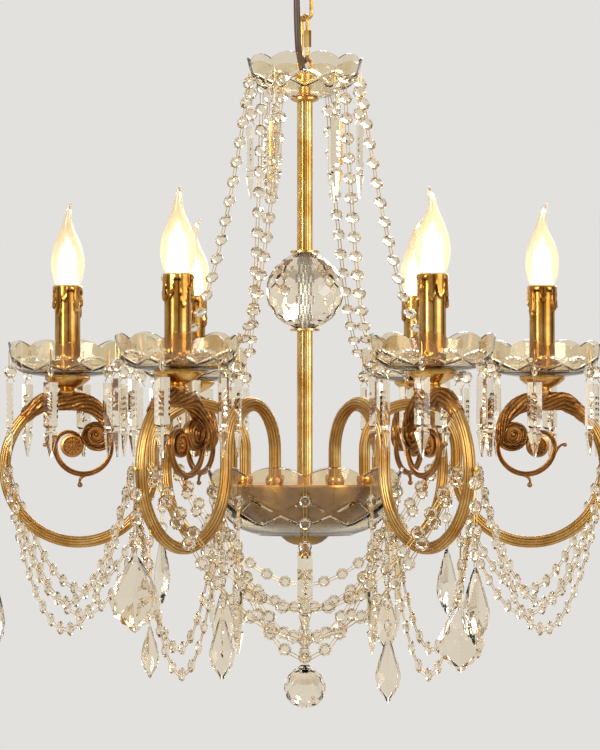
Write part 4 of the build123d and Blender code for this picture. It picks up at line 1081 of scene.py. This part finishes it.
DROP_BALL_R, DROP_HALF = 21.0, 0.97  # its half height is this share of its radius
drop_low = min(point.z for group in islands("bottom_drop") for point in group)
crystal_top = max(p.z for group in sorted_solids("bottom_drop")[2] for p in group)
bar = spun([(0, 0), (1.6, 0), (4.6, -7), (5.4, -12), (5.4, -27), (4.0, -31), (1.4, -36), (0, -36)], 8)
globe = honeycomb_ball(DROP_BALL_R, DROP_BALL_R * DROP_HALF, 12, (-66, -44, -22, 0, 22, 44, 66))
for vert in globe.verts:
    over = max(0.0, vert.co.z - DROP_BALL_R * 0.55) / (DROP_BALL_R * 0.45)
    vert.co.z += 3.4 * over
    squeezed(vert, 1 - 0.3 * over)
stones = [(bar, at(0, 0, crystal_top)), (globe, at(0, 0, drop_low + DROP_BALL_R * DROP_HALF))]
dressing("bottom_drop", "bottom_drop", "bottom_drop", stones)

# ---- strands of the fixture
bead_groups, pin_groups, _ = sorted_solids("strand_beads", "bead_pins")
pin_ends = [pin_ends_of(group) for group in pin_groups]
bead_spots = [bead_place(group, pin_ends) for group in bead_groups]
spear_spots = [spear_place(group) for group in islands("spear_prisms")]
# Beads above the bobeches are turned a quarter round their strands.
quarter = turned(90, "X")
bead_spots = [place @ quarter if place.translation.z > CANDLE_Z else place for place in bead_spots]

# Second strands: two ends, sag and number of beads. They run from arm to arm, from the bowl to two
# arms and under the bowl.
HOOK_ACROSS, ARM_HOOK_R, BOWL_HOOK_Z = 9.4, 306, BOWL_Z + 55
swags = []
for i in range(ARMS):
    one = polar(60 * i, ARM_HOOK_R, LOOP_Z + 6) + polar(60 * i + 90, HOOK_ACROSS, 0)
    two = polar(60 * i + 60, ARM_HOOK_R, LOOP_Z + 6) + polar(60 * i - 30, HOOK_ACROSS, 0)
    swags.append((one, two, 137, 19))
for arm, side, angle in ((4, -1, 221), (5, 1, 319)):
    two = polar(60 * arm, 297, LOOP_Z - 34) + polar(60 * arm + 90, side * HOOK_ACROSS, 0)
    swags.append((polar(angle, 104, BOWL_HOOK_Z), two, 175, 18))
swags.append((polar(205, 103, BOWL_HOOK_Z), polar(335, 103, BOWL_HOOK_Z), 160, 17))
for swag in swags:
    spots, ends = second_swag(*swag)
    bead_spots += spots
    pin_ends += ends

beads = joined([(BEAD, place) for place in bead_spots])
finish("octagon_beads", beads, STONE, "strand_beads")
spears = joined([(SPEAR, place) for place in spear_spots])
finish("notched_spears", spears, STONE, "spear_prisms")
spear_tops = [place.translation for place in spear_spots]
pins = [placed_pin(*pair, bead_spots, spear_tops) for pair in pin_ends]
finish("double_wire_pins", joined(pins), WIRE, "bead_pins")

# ---- carried-over CAD nodes
SKINS = {
    POLISHED: """ceiling_canopy canopy_screws canopy_loop chain_link quick_link quick_link_sleeve
        stem_loop dish_flange ball_washers hub_plate arm_collars""",
    SATIN: "hub_bowl",
    PATINA: "finial",
    STEEL: "ceiling_crossbar stem_rod",
    RUBBER: "dish_gasket",
    DARK_PLASTIC: "cord_grip",
    WHITE_PLASTIC: "terminal_block lampholders",
}
for skin, names in SKINS.items():
    for name in names.split():
        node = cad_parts[name]
        for k in range(len(node.material_slots)):
            node.material_slots[k].material = skin

# ---- floor, studio light
FLOOR_Z, FLOOR_R = -1.75, 6.0  # in metres, like all sizes from here on
AIM = Vector((0, 0, -0.5))

pale_floor, tree = material("pale_floor")
shown(tree, add(tree, "BsdfPrincipled", Base_Color=colour("#E9E6E1"), Roughness=0.85))
ground = bmesh.new()
bmesh.ops.create_circle(ground, cap_ends=True, segments=96, radius=FLOOR_R)
floor = linked("floor", meshed("floor", moved(ground, at(0, 0, FLOOR_Z)), pale_floor))

world = bpy.data.worlds.new("studio")
world.use_nodes = True
bpy.context.scene.world = world
tree = world.node_tree
tree.nodes.clear()
path = add(tree, "LightPath")
rays = path.outputs["Is Camera Ray"]
for kind in ("Is Transmission Ray", "Is Glossy Ray"):
    larger = {"operation": "MAXIMUM"}
    rays = add(tree, "Math", larger, _0=rays, _1=path.outputs[kind]).outputs[0]
dim = add(tree, "Background", Color=colour("#FFF6EA"), Strength=0.5).outputs[0]
pale = add(tree, "Background", Color=colour("#E8E6E3"), Strength=0.95).outputs[0]
shown(tree, add(tree, "MixShader", _0=rays, _1=dim, _2=pale), "World")


def lamp(name, place, size, power):
    """Soft square lamp aimed at the fixture."""
    data = bpy.data.lights.new(name, "AREA")
    data.size = size
    data.energy = power
    light = linked(name, data)
    light.location = place
    light.rotation_euler = (AIM - Vector(place)).to_track_quat("-Z", "Y").to_euler()


lamp("key", (-2.2, -2.6, 0.9), 1.4, 70)
lamp("fill", (2.6, -2.0, 0.1), 1.8, 32)
lamp("back", (0.8, 2.6, 1.0), 1.6, 40)
lamp("spark_left", (-1.5, -1.6, -0.2), 0.25, 9)
lamp("spark_right", (1.3, -1.9, 0.4), 0.25, 9)
FLAG = plain("brown_cloth", "#8A7050", 0.9)


def flag(name, place, size):
    """Tan panel that only shows as a darker place in what metal and glass mirror."""
    panel = bmesh.new()
    bmesh.ops.create_grid(panel, x_segments=1, y_segments=1, size=0.5)
    way = (AIM - Vector(place)).to_track_quat("Z", "Y").to_matrix().to_4x4()
    stand = Matrix.Translation(place) @ way @ Matrix.Diagonal((size[0], size[1], 1, 1))
    made = linked(name, meshed(name, moved(panel, stand), FLAG))
    made.visible_camera = False
    made.visible_transmission = False


flag("flag_left", (-3.4, -1.2, -0.4), (1.3, 3.0))
flag("flag_right", (3.5, 0.6, -0.5), (1.6, 3.0))
flag("flag_front", (0.7, -4.6, -0.4), (1.2, 3.0))
flag("flag_back", (-1.4, 4.2, -0.2), (0.9, 3.0))

bpy.context.scene.view_settings.view_transform = "Standard"
